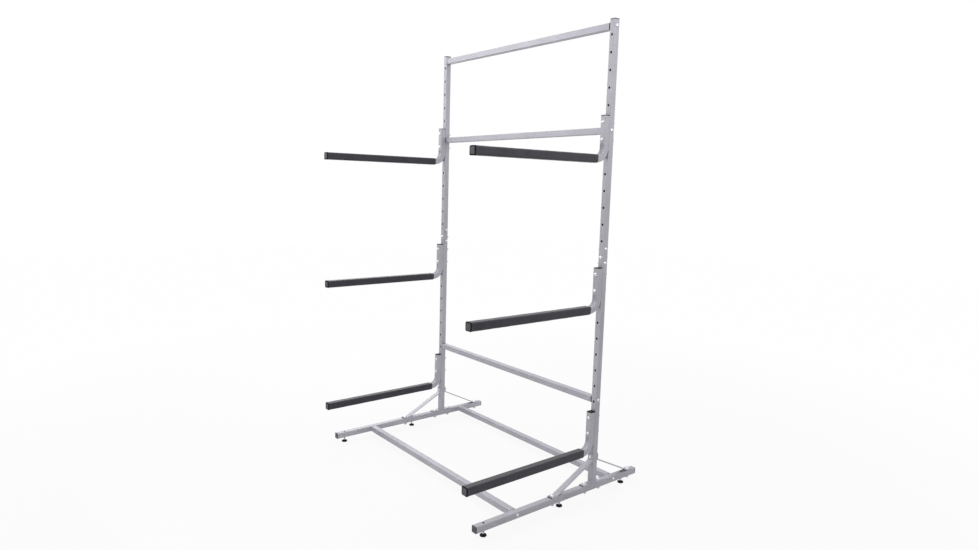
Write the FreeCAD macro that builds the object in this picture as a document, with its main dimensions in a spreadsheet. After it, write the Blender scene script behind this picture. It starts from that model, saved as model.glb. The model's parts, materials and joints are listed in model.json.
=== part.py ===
"""Freestanding board storage rack: two bolted tube posts on levelled legs carry six padded arms.

Millimetres, +Z up, +X to the right seen from the front, arms towards -Y.
The origin is on the floor, at the middle of the rack's outline.
"""
import FreeCAD, Part
import math
import os
import Sketcher

SIZES = (
    ("tube_size", 30.0, "outer side of every square steel tube"),
    ("tube_wall", 1.5, "wall of every square steel tube"),
    ("tube_corner", 3.0, "outer corner radius of the tubes"),
    ("post_spacing", 1276.0, "distance between the two posts, centre to centre"),
    ("floor_gap", 28.0, "floor to the underside of the legs"),
    ("leg_ahead", 699.0, "front end of a leg tube, ahead of the posts' front faces"),
    ("leg_behind", 322.0, "rear end of a leg tube, behind the posts' front faces"),
    ("post_top", 2206.0, "floor to the top of the post tubes"),
    ("hole_pitch", 76.2, "pitch of the adjustment holes"),
    ("hole_rise", 250.2, "lowest adjustment hole, above the foot of the post"),
    ("hole_margin", 40.0, "least distance from the highest adjustment hole to the top of the post"),
    ("hole_dia", 11.0, "clearance hole for every bolt"),
    ("plate_length", 146.0, "length of the plate under a post"),
    ("plate_thick", 4.0, "thickness of the plate under a post"),
    ("plate_bolts", 96.0, "distance between the two bolts of a base plate"),
    ("weld_leg", 3.0, "side of the weld bead between plate and post"),
    ("seam_drop", 46.0, "joint between the two post tubes, below the splice's front bolt"),
    ("splice_above", 39.5, "upper side bolt of the splice, above its front bolt"),
    ("splice_below", 26.0, "lower side bolt of the splice, below its front bolt"),
    ("sleeve_up", 105.0, "reach of the splice sleeve into the upper tube"),
    ("sleeve_down", 75.0, "reach of the splice sleeve into the lower tube"),
    ("sleeve_wall", 2.0, "wall of the splice sleeve"),
    ("slip_fit", 0.2, "clearance round anything that slides into a tube"),
    ("top_bar_drop", 27.6, "top of a post to the axis of the top crossbar"),
    ("middle_bar_rise", 41.5, "axis of the middle crossbar above the top arms' lower bolts"),
    ("low_bar_rise", 83.6, "axis of the low crossbar above the bottom arms' upper bolts"),
    ("base_bar_ahead", 474.0, "axis of the front base tube, ahead of the posts' front faces"),
    ("base_bar_behind", 156.0, "axis of the rear base tube, behind the posts' front faces"),
    ("end_plate", 6.0, "thickness of the tapped plates welded into the crossbars"),
    ("plate_set", 2.0, "space between a crossbar's plug and its tapped plate"),
    ("thread_play", 0.1, "radial play of a bolt in a tapped hole or nut"),
    ("cap_flange", 4.0, "thickness of a plug's visible head"),
    ("cap_depth", 16.0, "depth of a plug inside its tube"),
    ("cap_wall", 2.0, "wall of a plug's hollow shank"),
    ("cap_round", 1.2, "rounding of a plug's visible edge"),
    ("top_arm_hole_count", 18, "adjustment holes below the top arms' lower bolts"),
    ("middle_arm_hole_count", 9, "adjustment holes below the middle arms' lower bolts"),
    ("bottom_arm_hole_count", 0, "adjustment holes below the bottom arms' lower bolts"),
    ("splice_hole_count", 11, "adjustment holes below the splice's front bolt"),
    ("arm_head", 28.0, "top of an arm tube above its upper bolt"),
    ("arm_drop", 86.0, "axis of an arm's level part below its lower bolt"),
    ("arm_reach", 758.0, "tip of an arm ahead of the posts' front faces"),
    ("arm_bend", 50.0, "radius of an arm's bend, at the tube's axis"),
    ("dent_depth", 6.0, "depth of the channel that the bending die crushes into an arm's inner wall"),
    ("dent_width", 22.0, "width of that channel at the wall's face"),
    ("foam_thick", 3.7, "wall of a foam sleeve"),
    ("foam_fit", 0.3, "clearance between a foam sleeve and its tube"),
    ("foam_corner", 7.0, "outer corner radius of a foam sleeve"),
    ("foam_start", 2.0, "foam sleeve's inner end, from the end of the bend"),
    ("strap_width", 30.0, "width of a strap brace"),
    ("strap_thick", 5.0, "thickness of a strap brace"),
    ("strap_bend", 4.0, "inner bend radius of a strap brace"),
    ("brace_run", 233.0, "brace's bend on the leg, from the post's face"),
    ("brace_rise", 115.0, "brace's bend on the post, above the leg's top"),
    ("brace_tab", 33.0, "length of a brace's two end tabs"),
    ("tab_hole", 15.0, "bolt of a brace's tab, from the bend"),
    ("foot_front", 47.0, "front foot, behind the leg tube's front end"),
    ("foot_middle", 203.0, "middle foot, ahead of the posts' front faces"),
    ("foot_rear", 92.0, "rear foot, ahead of the leg tube's rear end"),
    ("foot_dia", 30.0, "diameter of a foot's pad"),
    ("foot_rim", 6.5, "height of a foot pad's rim"),
    ("foot_hub", 11.0, "height of a foot pad's hub"),
    ("foot_hub_dia", 14.0, "diameter of a foot pad's hub at its top"),
    ("foot_collar", 3.0, "height of the stem's hex collar above the hub"),
    ("stem_top", 46.5, "floor to the upper end of a foot's stem"),
    ("collar_size", 11.0, "width of the stem's hex collar across its flats"),
    ("stem_dia", 8.0, "diameter of a foot's stem"),
    ("stem_play", 0.08, "radial play of a foot's stem in its nut"),
    ("weld_nut_size", 13.0, "width across its flats of the nut welded in a leg for a foot's stem"),
    ("weld_nut_height", 6.5, "height of that nut"),
    ("bolt_dia", 10.0, "diameter of the bolts"),
    ("head_dia", 18.0, "diameter of a bolt's domed head"),
    ("head_height", 4.8, "height of a bolt's domed head"),
    ("tip_chamfer", 1.0, "chamfer at the end of a bolt"),
    ("nut_size", 16.0, "width of a lock nut across its flats"),
    ("nut_height", 8.0, "height of a lock nut's hex"),
    ("collar_height", 2.0, "height of a lock nut's round collar"),
    ("collar_dia", 14.0, "diameter of a lock nut's round collar"),
    ("bolt_stub", 4.0, "bolt's end beyond its nut"),
)

NODES = []
TOUCHING = 1e-6
LEFT = -1
RIGHT = 1
SIDES = ((LEFT, "left"), (RIGHT, "right"))

doc = FreeCAD.newDocument("BoardRack")
sheet = doc.addObject("Spreadsheet::Sheet", "Sizes")
for row, (alias, measure, meaning) in enumerate(SIZES, start=1):
    sheet.set(f"A{row}", meaning)
    sheet.set(f"B{row}", str(measure))
    sheet.setAlias(f"B{row}", alias)
doc.recompute()


def amount(expression):
    """The expression's present value in millimetres."""
    return float(sheet.evalExpression(expression))


def size(alias):
    """A size of the sheet, as an expression."""
    return f"Sizes.{alias}"


# Places worked out from the sheet, as expressions

BORE = "(Sizes.tube_size - 2 * Sizes.tube_wall)"
BORE_CORNER = "(Sizes.tube_corner - Sizes.tube_wall)"
PLUG = f"({BORE} - 2 * Sizes.slip_fit)"
PLUG_CORNER = f"({BORE_CORNER} - Sizes.slip_fit)"
HALF_TUBE = "(Sizes.tube_size / 2)"
POST_X = "(Sizes.post_spacing / 2)"
REAR_REACH = "(Sizes.leg_behind + Sizes.cap_flange)"
POST_FRONT = f"((Sizes.arm_reach - {REAR_REACH}) / 2)"
POST_Y = f"({POST_FRONT} + {HALF_TUBE})"
POST_REAR = f"({POST_FRONT} + Sizes.tube_size)"
LEG_AXIS = f"(Sizes.floor_gap + {HALF_TUBE})"
LEG_TOP = "(Sizes.floor_gap + Sizes.tube_size)"
PLATE_TOP = f"({LEG_TOP} + Sizes.plate_thick)"
BAR_LENGTH = "(Sizes.post_spacing - Sizes.tube_size - 2 * Sizes.cap_flange)"
BAR_PLATE = "(Sizes.cap_depth + Sizes.plate_set)"
NUT_STACK = "(Sizes.nut_height + Sizes.collar_height)"


def hole_height(index):
    """Height of an adjustment hole, counted from the lowest."""
    return f"({PLATE_TOP} + Sizes.hole_rise + {index} * Sizes.hole_pitch)"


def arm_hole_height(level, step):
    """Height of an arm's lower bolt, or of its upper bolt one step up."""
    return hole_height(f"(Sizes.{level}_arm_hole_count + {step})")


SPLICE_Z = hole_height(size("splice_hole_count"))
SEAM_Z = f"({SPLICE_Z} - Sizes.seam_drop)"
SPLICE_SIDE_Z = (f"({SPLICE_Z} + Sizes.splice_above)", f"({SPLICE_Z} - Sizes.splice_below)")
BAR_HEIGHTS = {
    "top": "(Sizes.post_top - Sizes.top_bar_drop)",
    "middle": f"({arm_hole_height('top', 0)} + Sizes.middle_bar_rise)",
    "low": f"({arm_hole_height('bottom', 1)} + Sizes.low_bar_rise)",
}
ARM_LEVELS = ("top", "middle", "bottom")
BRACE_BOLT_Z = f"({LEG_TOP} + Sizes.brace_rise + Sizes.tab_hole)"
BASE_BARS = {
    "front": f"({POST_FRONT} - Sizes.base_bar_ahead)",
    "rear": f"({POST_FRONT} + Sizes.base_bar_behind)",
}
LEG_FRONT = f"({POST_FRONT} - Sizes.leg_ahead)"
LEG_REAR = f"({POST_FRONT} + Sizes.leg_behind)"
LEG_LENGTH = "(Sizes.leg_ahead + Sizes.leg_behind)"
FEET = {
    "front": f"({LEG_FRONT} + Sizes.foot_front)",
    "middle": f"({POST_FRONT} - Sizes.foot_middle)",
    "rear": f"({LEG_REAR} - Sizes.foot_rear)",
}
BRACE_FOOT_Y = {
    "front": f"({POST_FRONT} - Sizes.brace_run - Sizes.tab_hole)",
    "rear": f"({POST_REAR} + Sizes.brace_run + Sizes.tab_hole)",
}
PLATE_BOLT_Y = (f"({POST_Y} - Sizes.plate_bolts / 2)", f"({POST_Y} + Sizes.plate_bolts / 2)")

UPRIGHT = FreeCAD.Rotation()
HEAD_DOWN = FreeCAD.Rotation(FreeCAD.Vector(1, 0, 0), 180)
ALONG_X = FreeCAD.Rotation(FreeCAD.Vector(0, 1, 0), 90)
AGAINST_X = FreeCAD.Rotation(FreeCAD.Vector(0, 1, 0), -90)
ALONG_Y = FreeCAD.Rotation(FreeCAD.Vector(1, 0, 0), -90)
AGAINST_Y = FreeCAD.Rotation(FreeCAD.Vector(1, 0, 0), 90)
HALF_TURN = FreeCAD.Rotation(FreeCAD.Vector(0, 0, 1), 180)


# Sketches and features

def place(thing, x="0", y="0", z="0", turn=UPRIGHT):
    """Put an object's own origin at a point given by expressions."""
    thing.Placement = FreeCAD.Placement(FreeCAD.Vector(), turn)
    for axis, expression in (("x", x), ("y", y), ("z", z)):
        thing.setExpression(f"Placement.Base.{axis}", expression)


def new_body(label):
    body = doc.addObject("PartDesign::Body", label)
    body.Label = label
    return body


def new_sketch(body, name, role, raised="0", shifted="0"):
    """A sketch on an origin plane, raised along its normal and shifted along its second axis."""
    sketch = body.newObject("Sketcher::SketchObject", name)
    plane = next(feature for feature in body.Origin.OriginFeatures if feature.Role == role)
    sketch.AttachmentSupport = [(plane, "")]
    sketch.MapMode = "FlatFace"
    sketch.setExpression("AttachmentOffset.Base.z", raised)
    sketch.setExpression("AttachmentOffset.Base.y", shifted)
    return sketch


def dimension(sketch, constraint, expression):
    """Add a constraint whose value follows an expression."""
    index = sketch.addConstraint(constraint)
    name = f"size_{index}"
    sketch.renameConstraint(index, name)
    sketch.setExpression(f"Constraints.{name}", expression)


def pin_point(sketch, geometry, point, across, up):
    """Hold a point of a sketch at two distances from the sketch's origin."""
    for kind, axis, expression in (("DistanceX", -2, across), ("DistanceY", -1, up)):
        now = amount(expression)
        if now > 0:
            dimension(sketch, Sketcher.Constraint(kind, -1, 1, geometry, point, now), expression)
        elif now < 0:
            back = Sketcher.Constraint(kind, geometry, point, -1, 1, -now)
            dimension(sketch, back, f"-({expression})")
        else:
            sketch.addConstraint(Sketcher.Constraint("PointOnObject", geometry, point, axis))


def add_circle(sketch, across, up, diameter):
    centre = FreeCAD.Vector(amount(across), amount(up), 0)
    circle = Part.Circle(centre, FreeCAD.Vector(0, 0, 1), amount(diameter) / 2)
    index = sketch.addGeometry(circle)
    dimension(sketch, Sketcher.Constraint("Diameter", index, amount(diameter)), diameter)
    pin_point(sketch, index, 3, across, up)


def add_polygon(sketch, corners):
    """A closed outline of straight lines through corners given by expressions."""
    points = [FreeCAD.Vector(amount(across), amount(up), 0) for across, up in corners]
    first = sketch.GeometryCount
    count = len(points)
    for k in range(count):
        sketch.addGeometry(Part.LineSegment(points[k], points[(k + 1) % count]))
    for k in range(count):
        after = first + (k + 1) % count
        sketch.addConstraint(Sketcher.Constraint("Coincident", first + k, 2, after, 1))
    for k, (across, up) in enumerate(corners):
        pin_point(sketch, first + k, 1, across, up)


def add_round_rectangle(sketch, width, height, corner):
    """A rectangle about the sketch's origin with rounded corners."""
    half_w = amount(width) / 2
    half_h = amount(height) / 2
    radius = amount(corner)
    flat_w = half_w - radius
    flat_h = half_h - radius
    first = sketch.GeometryCount
    sides = (
        ((-flat_w, -half_h), (flat_w, -half_h)),
        ((half_w, -flat_h), (half_w, flat_h)),
        ((flat_w, half_h), (-flat_w, half_h)),
        ((-half_w, flat_h), (-half_w, -flat_h)),
    )
    middles = ((flat_w, -flat_h), (flat_w, flat_h), (-flat_w, flat_h), (-flat_w, -flat_h))
    for k, (start, end) in enumerate(sides):
        sketch.addGeometry(Part.LineSegment(FreeCAD.Vector(*start, 0), FreeCAD.Vector(*end, 0)))
        circle = Part.Circle(FreeCAD.Vector(*middles[k], 0), FreeCAD.Vector(0, 0, 1), radius)
        from_angle = math.radians(90 * (k - 1))
        sketch.addGeometry(Part.ArcOfCircle(circle, from_angle, from_angle + math.pi / 2))
    for k in range(4):
        line = first + 2 * k
        arc = line + 1
        following = first + (2 * k + 2) % 8
        sketch.addConstraint(Sketcher.Constraint("Tangent", line, 2, arc, 1))
        sketch.addConstraint(Sketcher.Constraint("Tangent", arc, 2, following, 1))
        direction = "Horizontal" if k % 2 == 0 else "Vertical"
        sketch.addConstraint(Sketcher.Constraint(direction, line))
        if k:
            sketch.addConstraint(Sketcher.Constraint("Equal", first + 1, arc))
    dimension(sketch, Sketcher.Constraint("Radius", first + 1, radius), corner)
    dimension(sketch, Sketcher.Constraint("DistanceY", first, 1, -1, 1, half_h), f"{height} / 2")
    dimension(sketch, Sketcher.Constraint("DistanceX", -1, 1, first + 2, 1, half_w), f"{width} / 2")
    dimension(sketch, Sketcher.Constraint("DistanceY", -1, 1, first + 4, 1, half_h), f"{height} / 2")
    dimension(sketch, Sketcher.Constraint("DistanceX", first + 6, 1, -1, 1, half_w), f"{width} / 2")


def pad(body, sketch, length, symmetric=False):
    feature = body.newObject("PartDesign::Pad", "Pad")
    feature.Profile = sketch
    feature.setExpression("Length", length)
    if symmetric:
        feature.SideType = "Symmetric"
    return feature


def drill(body, sketch):
    """Cut a sketch right through the body, both ways from its plane."""
    feature = body.newObject("PartDesign::Pocket", "Drilled")
    feature.Profile = sketch
    feature.Type = "ThroughAll"
    feature.SideType = "Symmetric"
    return feature


def turn_profile(body, sketch):
    """Revolve a sketch about its own upright axis."""
    feature = body.newObject("PartDesign::Revolution", "Turned")
    feature.Profile = sketch
    feature.ReferenceAxis = (sketch, ["V_Axis"])
    feature.Angle = 360
    return feature


def drill_row(body, role, up, count):
    """A row of adjustment holes that starts at one height and steps up by the pitch."""
    sketch = new_sketch(body, "RowHole", role)
    add_circle(sketch, "0", up, size("hole_dia"))
    hole = drill(body, sketch)
    row = body.newObject("PartDesign::LinearPattern", "HoleRow")
    row.Originals = [hole]
    axis = next(feature for feature in body.Origin.OriginFeatures if feature.Role == "Z_Axis")
    row.Direction = (axis, [""])
    row.Mode = "Spacing"
    row.setExpression("Offset", size("hole_pitch"))
    row.Occurrences = count
    body.Tip = row


def keep(thing):
    """Count an object among the rack's own pieces."""
    NODES.append(thing)
    return thing


def square_tube(label, length, side=size("tube_size"), bore=BORE,
                corner=size("tube_corner"), bore_corner=BORE_CORNER):
    """A square tube along its own Z, from 0 to its length."""
    body = new_body(label)
    section = new_sketch(body, "Section", "XY_Plane")
    add_round_rectangle(section, side, side, corner)
    add_round_rectangle(section, bore, bore, bore_corner)
    pad(body, section, length)
    return body


def drill_across(body, role, heights):
    """Clearance holes through a tube at several places along it."""
    sketch = new_sketch(body, "BoltHoles", role)
    for height in heights:
        add_circle(sketch, "0", height, size("hole_dia"))
    drill(body, sketch)


def holes_between(bottom, top):
    """Numbers of the adjustment holes that touch a stretch of the post."""
    reach = amount("Sizes.hole_dia / 2")
    low = amount(bottom) - reach
    high = amount(top) + reach
    highest = amount("Sizes.post_top - Sizes.hole_margin")
    row = amount(f"({highest} - {hole_height(0)}) / Sizes.hole_pitch")
    return [k for k in range(math.floor(row) + 1) if low < amount(hole_height(k)) < high]


# Posts

def post_tube(label, side, bottom, top, side_bolts, brace_bolts=()):
    """One tube of a post with its row of adjustment holes and the holes of its other bolts."""
    body = square_tube(label, f"({top} - {bottom})")
    indexes = holes_between(bottom, top)
    drill_row(body, "XZ_Plane", f"({hole_height(indexes[0])} - {bottom})", len(indexes))
    doc.recompute()
    drill_across(body, "YZ_Plane", [f"({height} - {bottom})" for height in side_bolts])
    if brace_bolts:
        drill_across(body, "XZ_Plane", [f"({height} - {bottom})" for height in brace_bolts])
    place(body, f"{side} * {POST_X}", POST_Y, bottom)
    return keep(body)


def splice_sleeve(label, side):
    """The inner tube that joins the two tubes of a post."""
    bottom = f"({SEAM_Z} - Sizes.sleeve_down)"
    top = f"({SEAM_Z} + Sizes.sleeve_up)"
    body = square_tube(label, f"({top} - {bottom})", PLUG, f"({PLUG} - 2 * Sizes.sleeve_wall)",
                       PLUG_CORNER, f"({PLUG_CORNER} / 2)")
    indexes = holes_between(bottom, top)
    drill_across(body, "XZ_Plane", [f"({hole_height(k)} - {bottom})" for k in indexes])
    drill_across(body, "YZ_Plane", [f"({height} - {bottom})" for height in SPLICE_SIDE_Z])
    place(body, f"{side} * {POST_X}", POST_Y, bottom)
    return keep(body)


def base_plate(label, side):
    """The plate welded under a post, with a weld bead in front of and behind the post."""
    body = new_body(label)
    outline = new_sketch(body, "Outline", "XY_Plane")
    add_round_rectangle(outline, size("tube_size"), size("plate_length"), size("tube_corner"))
    for along in ("-Sizes.plate_bolts / 2", "Sizes.plate_bolts / 2"):
        add_circle(outline, "0", along, size("hole_dia"))
    pad(body, outline, size("plate_thick"))
    bead = new_sketch(body, "WeldBeads", "YZ_Plane")
    top = size("plate_thick")
    for way in (LEFT, RIGHT):
        face = f"{way} * {HALF_TUBE}"
        toe = f"{way} * ({HALF_TUBE} + Sizes.weld_leg)"
        add_polygon(bead, ((face, top), (toe, top), (face, f"{top} + Sizes.weld_leg")))
    pad(body, bead, f"({size('tube_size')} - 2 * {size('tube_corner')})", symmetric=True)
    place(body, f"{side} * {POST_X}", POST_Y, LEG_TOP)
    return keep(body)


# Legs and crossbars

def leg(label, side):
    """A leg tube with upright holes for feet and bolts, and side holes for the base tubes."""
    body = square_tube(label, LEG_LENGTH)
    upright = list(FEET.values()) + list(BRACE_FOOT_Y.values()) + list(PLATE_BOLT_Y)
    drill_across(body, "XZ_Plane", [f"({y} - {LEG_FRONT})" for y in upright])
    drill_across(body, "YZ_Plane", [f"({y} - {LEG_FRONT})" for y in BASE_BARS.values()])
    place(body, f"{side} * {POST_X}", LEG_FRONT, LEG_AXIS, ALONG_Y)
    return keep(body)


def crossbar(label, y, z):
    """A tube between the posts or legs, with a tapped plate welded in behind each end plug."""
    body = square_tube(label, BAR_LENGTH)
    for raised in (BAR_PLATE, f"({BAR_LENGTH} - {BAR_PLATE} - Sizes.end_plate)"):
        plate = new_sketch(body, "EndPlate", "XY_Plane", raised)
        add_round_rectangle(plate, BORE, BORE, BORE_CORNER)
        pad(body, plate, size("end_plate"))
    tapped = new_sketch(body, "TappedHole", "XY_Plane")
    add_circle(tapped, "0", "0", "(Sizes.bolt_dia + 2 * Sizes.thread_play)")
    drill(body, tapped)
    place(body, f"-{BAR_LENGTH} / 2", y, z, ALONG_X)
    return keep(body)


# Braces

def bend_arc(before, corner, after, radius):
    """The arc that rounds a corner, turning anticlockwise, and the points where the path meets it."""
    incoming = (corner - before).normalize()
    outgoing = (after - corner).normalize()
    half_turn = incoming.getAngle(outgoing) / 2
    entry = corner - incoming * radius * math.tan(half_turn)
    leaving = corner + outgoing * radius * math.tan(half_turn)
    inward = (outgoing - incoming).normalize()
    centre = corner + inward * (radius / math.cos(half_turn))
    anticlockwise = incoming.cross(outgoing).z > 0
    first, last = (entry, leaving) if anticlockwise else (leaving, entry)
    from_angle = math.atan2(first.y - centre.y, first.x - centre.x)
    circle = Part.Circle(centre, FreeCAD.Vector(0, 0, 1), radius)
    arc = Part.ArcOfCircle(circle, from_angle, from_angle + 2 * half_turn)
    return arc, entry, leaving, anticlockwise


def path_of_bends(sketch, stops, radius):
    """Straight runs between stops, joined at the inner stops by tangent arcs of one radius."""
    points = [FreeCAD.Vector(amount(across), amount(up), 0) for across, up in stops]
    bend = amount(radius)
    bends = [bend_arc(*corner, bend) for corner in zip(points, points[1:], points[2:])]
    entry = points[0]
    for arc, arrival, leaving, anticlockwise in bends:
        sketch.addGeometry(Part.LineSegment(entry, arrival))
        sketch.addGeometry(arc)
        entry = leaving
    last_run = sketch.addGeometry(Part.LineSegment(entry, points[-1]))
    for k, (arc, arrival, leaving, anticlockwise) in enumerate(bends):
        run = 2 * k
        arc_in, arc_out = (1, 2) if anticlockwise else (2, 1)
        sketch.addConstraint(Sketcher.Constraint("Tangent", run, 2, run + 1, arc_in))
        sketch.addConstraint(Sketcher.Constraint("Tangent", run + 1, arc_out, run + 2, 1))
        dimension(sketch, Sketcher.Constraint("Radius", run + 1, bend), radius)
        corner = sketch.addGeometry(Part.Point(points[k + 1]), True)
        pin_point(sketch, corner, 1, *stops[k + 1])
        sketch.addConstraint(Sketcher.Constraint("PointOnObject", corner, 1, run))
        sketch.addConstraint(Sketcher.Constraint("PointOnObject", corner, 1, run + 2))
    pin_point(sketch, 0, 1, *stops[0])
    pin_point(sketch, last_run, 2, *stops[-1])


def sweep(body, section, path):
    feature = body.newObject("PartDesign::AdditivePipe", "Bent")
    feature.Profile = section
    feature.Spine = path
    return feature


def brace(label, side, y, turn):
    """A bent strap: one tab on the leg, a slanted run, one tab on the post."""
    body = new_body(label)
    toe = "-(Sizes.brace_run + Sizes.brace_tab)"
    path = new_sketch(body, "Path", "YZ_Plane")
    stops = ((toe, "0"), ("-Sizes.brace_run", "0"), ("0", size("brace_rise")),
             ("0", "Sizes.brace_rise + Sizes.brace_tab"))
    path_of_bends(path, stops, "(Sizes.strap_bend + Sizes.strap_thick)")
    section = new_sketch(body, "Section", "XZ_Plane", f"-({toe})")
    half = "(Sizes.strap_width / 2)"
    thick = size("strap_thick")
    add_polygon(section, ((f"-{half}", "0"), (half, "0"), (half, thick), (f"-{half}", thick)))
    sweep(body, section, path)
    doc.recompute()
    foot_hole = new_sketch(body, "FootHole", "XY_Plane")
    add_circle(foot_hole, "0", "-(Sizes.brace_run + Sizes.tab_hole)", size("hole_dia"))
    drill(body, foot_hole)
    post_hole = new_sketch(body, "PostHole", "XZ_Plane")
    add_circle(post_hole, "0", "Sizes.brace_rise + Sizes.tab_hole", size("hole_dia"))
    drill(body, post_hole)
    place(body, f"{side} * {POST_X}", y, LEG_TOP, turn)
    return keep(body)


# Arms with their foam

ARM_TUBE_TIP = "(Sizes.arm_reach - Sizes.cap_flange)"
FOAM_START = f"({HALF_TUBE} + Sizes.arm_bend + Sizes.foam_start)"
FOAM_BORE = "(Sizes.tube_size + 2 * Sizes.foam_fit)"
FOAM_SIDE = f"({FOAM_BORE} + 2 * Sizes.foam_thick)"


def bent_bar(name, side, corner):
    """A solid square bar along an arm's path, from above its upper bolt to its tip."""
    body = new_body(name)
    top = "(Sizes.hole_pitch + Sizes.arm_head)"
    path = new_sketch(body, "Path", "YZ_Plane")
    stops = ((f"-{HALF_TUBE}", top), (f"-{HALF_TUBE}", "-Sizes.arm_drop"),
             (f"-{ARM_TUBE_TIP}", "-Sizes.arm_drop"))
    path_of_bends(path, stops, size("arm_bend"))
    section = new_sketch(body, "Section", "XY_Plane", top, f"-{HALF_TUBE}")
    add_round_rectangle(section, side, side, corner)
    sweep(body, section, path)
    doc.recompute()
    return body


def crush_bend(body, wall):
    """Cut a channel along the inner side of an arm's bend. It fades out on the straight runs."""
    ring = body.newObject("PartDesign::SubtractiveTorus", "Crushed")
    plane = next(feature for feature in body.Origin.OriginFeatures if feature.Role == "YZ_Plane")
    ring.AttachmentSupport = [(plane, "")]
    ring.MapMode = "FlatFace"
    ring.setExpression("AttachmentOffset.Base.x", f"-({HALF_TUBE} + Sizes.arm_bend)")
    ring.setExpression("AttachmentOffset.Base.y", "Sizes.arm_bend - Sizes.arm_drop")
    die = "((Sizes.dent_width^2 / 4 + Sizes.dent_depth^2) / (2 * Sizes.dent_depth))"
    ring.setExpression("Radius1", f"Sizes.arm_bend - {HALF_TUBE} + Sizes.dent_depth - {die}")
    ring.setExpression("Radius2", f"{die} + {wall}")
    doc.recompute()


def arm_pattern():
    """A tube that hangs on the post's front face by two bolts and bends forward."""
    hollow = bent_bar("arm_hollow", BORE, BORE_CORNER)
    crush_bend(hollow, size("tube_wall"))
    body = bent_bar("arm_tube", size("tube_size"), size("tube_corner"))
    bored = body.newObject("PartDesign::Boolean", "Bored")
    bored.Type = "Cut"
    bored.setObjects([hollow])
    doc.recompute()
    crush_bend(body, "0")
    bolts = new_sketch(body, "BoltHoles", "XZ_Plane")
    for up in ("0", size("hole_pitch")):
        add_circle(bolts, "0", up, size("hole_dia"))
    through = body.newObject("PartDesign::Pocket", "Drilled")
    through.Profile = bolts
    through.setExpression("Length", f"2 * {size('tube_size')} + {size('tube_wall')}")
    through.SideType = "Symmetric"
    return body


def foam_sleeve(label, side, level):
    """A foam sleeve on the level part of an arm, flush with its tip."""
    body = square_tube(label, f"(Sizes.arm_reach - {FOAM_START})", FOAM_SIDE, FOAM_BORE,
                       size("foam_corner"), size("tube_corner"))
    place(body, f"{side} * {POST_X}", f"({POST_FRONT} - {FOAM_START})",
          f"({arm_hole_height(level, 0)} - Sizes.arm_drop)", AGAINST_Y)
    return keep(body)


# Feet

STEM_SEAT = "(Sizes.foot_rim / 2)"


def foot_pad(label, x, y):
    """A moulded pad: a broad rim that rises to a hub, with a socket for the stem."""
    body = new_body(label)
    profile = new_sketch(body, "Profile", "XZ_Plane")
    rim = "(Sizes.foot_dia / 2)"
    socket = "(Sizes.stem_dia / 2 + Sizes.thread_play)"
    hub = "(Sizes.foot_hub_dia / 2)"
    bevel = "(Sizes.foot_rim / 4)"
    add_polygon(profile, (
        ("0", "0"), (f"{rim} - {bevel}", "0"), (rim, bevel), (rim, f"{size('foot_rim')} - {bevel}"),
        (f"{rim} - {bevel}", size("foot_rim")), (hub, size("foot_hub")), (socket, size("foot_hub")),
        (socket, STEM_SEAT), ("0", STEM_SEAT)))
    turn_profile(body, profile)
    place(body, x, y)
    return keep(body)


def add_hexagon(sketch, across_flats):
    """A regular hexagon about the sketch's origin."""
    radius = f"({across_flats} / 2 / cos(30))"
    add_polygon(sketch, [(f"({radius} * cos({60 * k}))", f"({radius} * sin({60 * k}))") for k in range(6)])


def foot_stem(label, x, y):
    """A threaded stem with a hex collar that rests on the pad's hub."""
    body = new_body(label)
    collar = new_sketch(body, "Collar", "XY_Plane", size("foot_hub"))
    add_hexagon(collar, size("collar_size"))
    pad(body, collar, size("foot_collar"))
    rod = new_sketch(body, "Rod", "XY_Plane", STEM_SEAT)
    add_circle(rod, "0", "0", size("stem_dia"))
    pad(body, rod, f"({size('stem_top')} - {STEM_SEAT})")
    place(body, x, y)
    return keep(body)


# Fasteners and plugs: one pattern each, repeated by links

def domed_bolt(name, length):
    """A bolt with a domed head. Its shank runs along +Z from the seat of the head at 0."""
    body = new_body(name)
    profile = new_sketch(body, "Profile", "XZ_Plane")
    edge = "(Sizes.head_dia / 2)"
    shank = "(Sizes.bolt_dia / 2)"
    lip = "(Sizes.head_height / 5)"
    crown = f"-({size('head_height')})"
    outline = (
        ("0", length), (f"{shank} - Sizes.tip_chamfer", length), (shank, f"{length} - Sizes.tip_chamfer"),
        (shank, "0"), (edge, "0"), (edge, f"-{lip}"))
    points = [FreeCAD.Vector(amount(across), amount(up), 0) for across, up in outline]
    top = FreeCAD.Vector(0, amount(crown), 0)
    for start, end in zip(points, points[1:]):
        profile.addGeometry(Part.LineSegment(start, end))
    rise = amount(size("head_height")) - amount(lip)
    reach = amount(edge)
    radius = (reach * reach + rise * rise) / (2 * rise)
    sphere = Part.Circle(FreeCAD.Vector(0, top.y + radius, 0), FreeCAD.Vector(0, 0, 1), radius)
    from_top = -math.pi / 2
    dome = profile.addGeometry(Part.ArcOfCircle(sphere, from_top, from_top + math.asin(reach / radius)))
    closing = profile.addGeometry(Part.LineSegment(top, points[0]))
    for k in range(len(outline) - 2):
        profile.addConstraint(Sketcher.Constraint("Coincident", k, 2, k + 1, 1))
    for k, (across, up) in enumerate(outline[:-1]):
        pin_point(profile, k, 1, across, up)
    pin_point(profile, len(outline) - 2, 2, *outline[-1])
    profile.addConstraint(Sketcher.Constraint("Coincident", len(outline) - 2, 2, dome, 2))
    profile.addConstraint(Sketcher.Constraint("Coincident", dome, 1, closing, 1))
    profile.addConstraint(Sketcher.Constraint("Coincident", closing, 2, 0, 1))
    pin_point(profile, closing, 1, "0", crown)
    profile.addConstraint(Sketcher.Constraint("PointOnObject", dome, 3, -2))
    turn_profile(body, profile)
    return body


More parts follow.
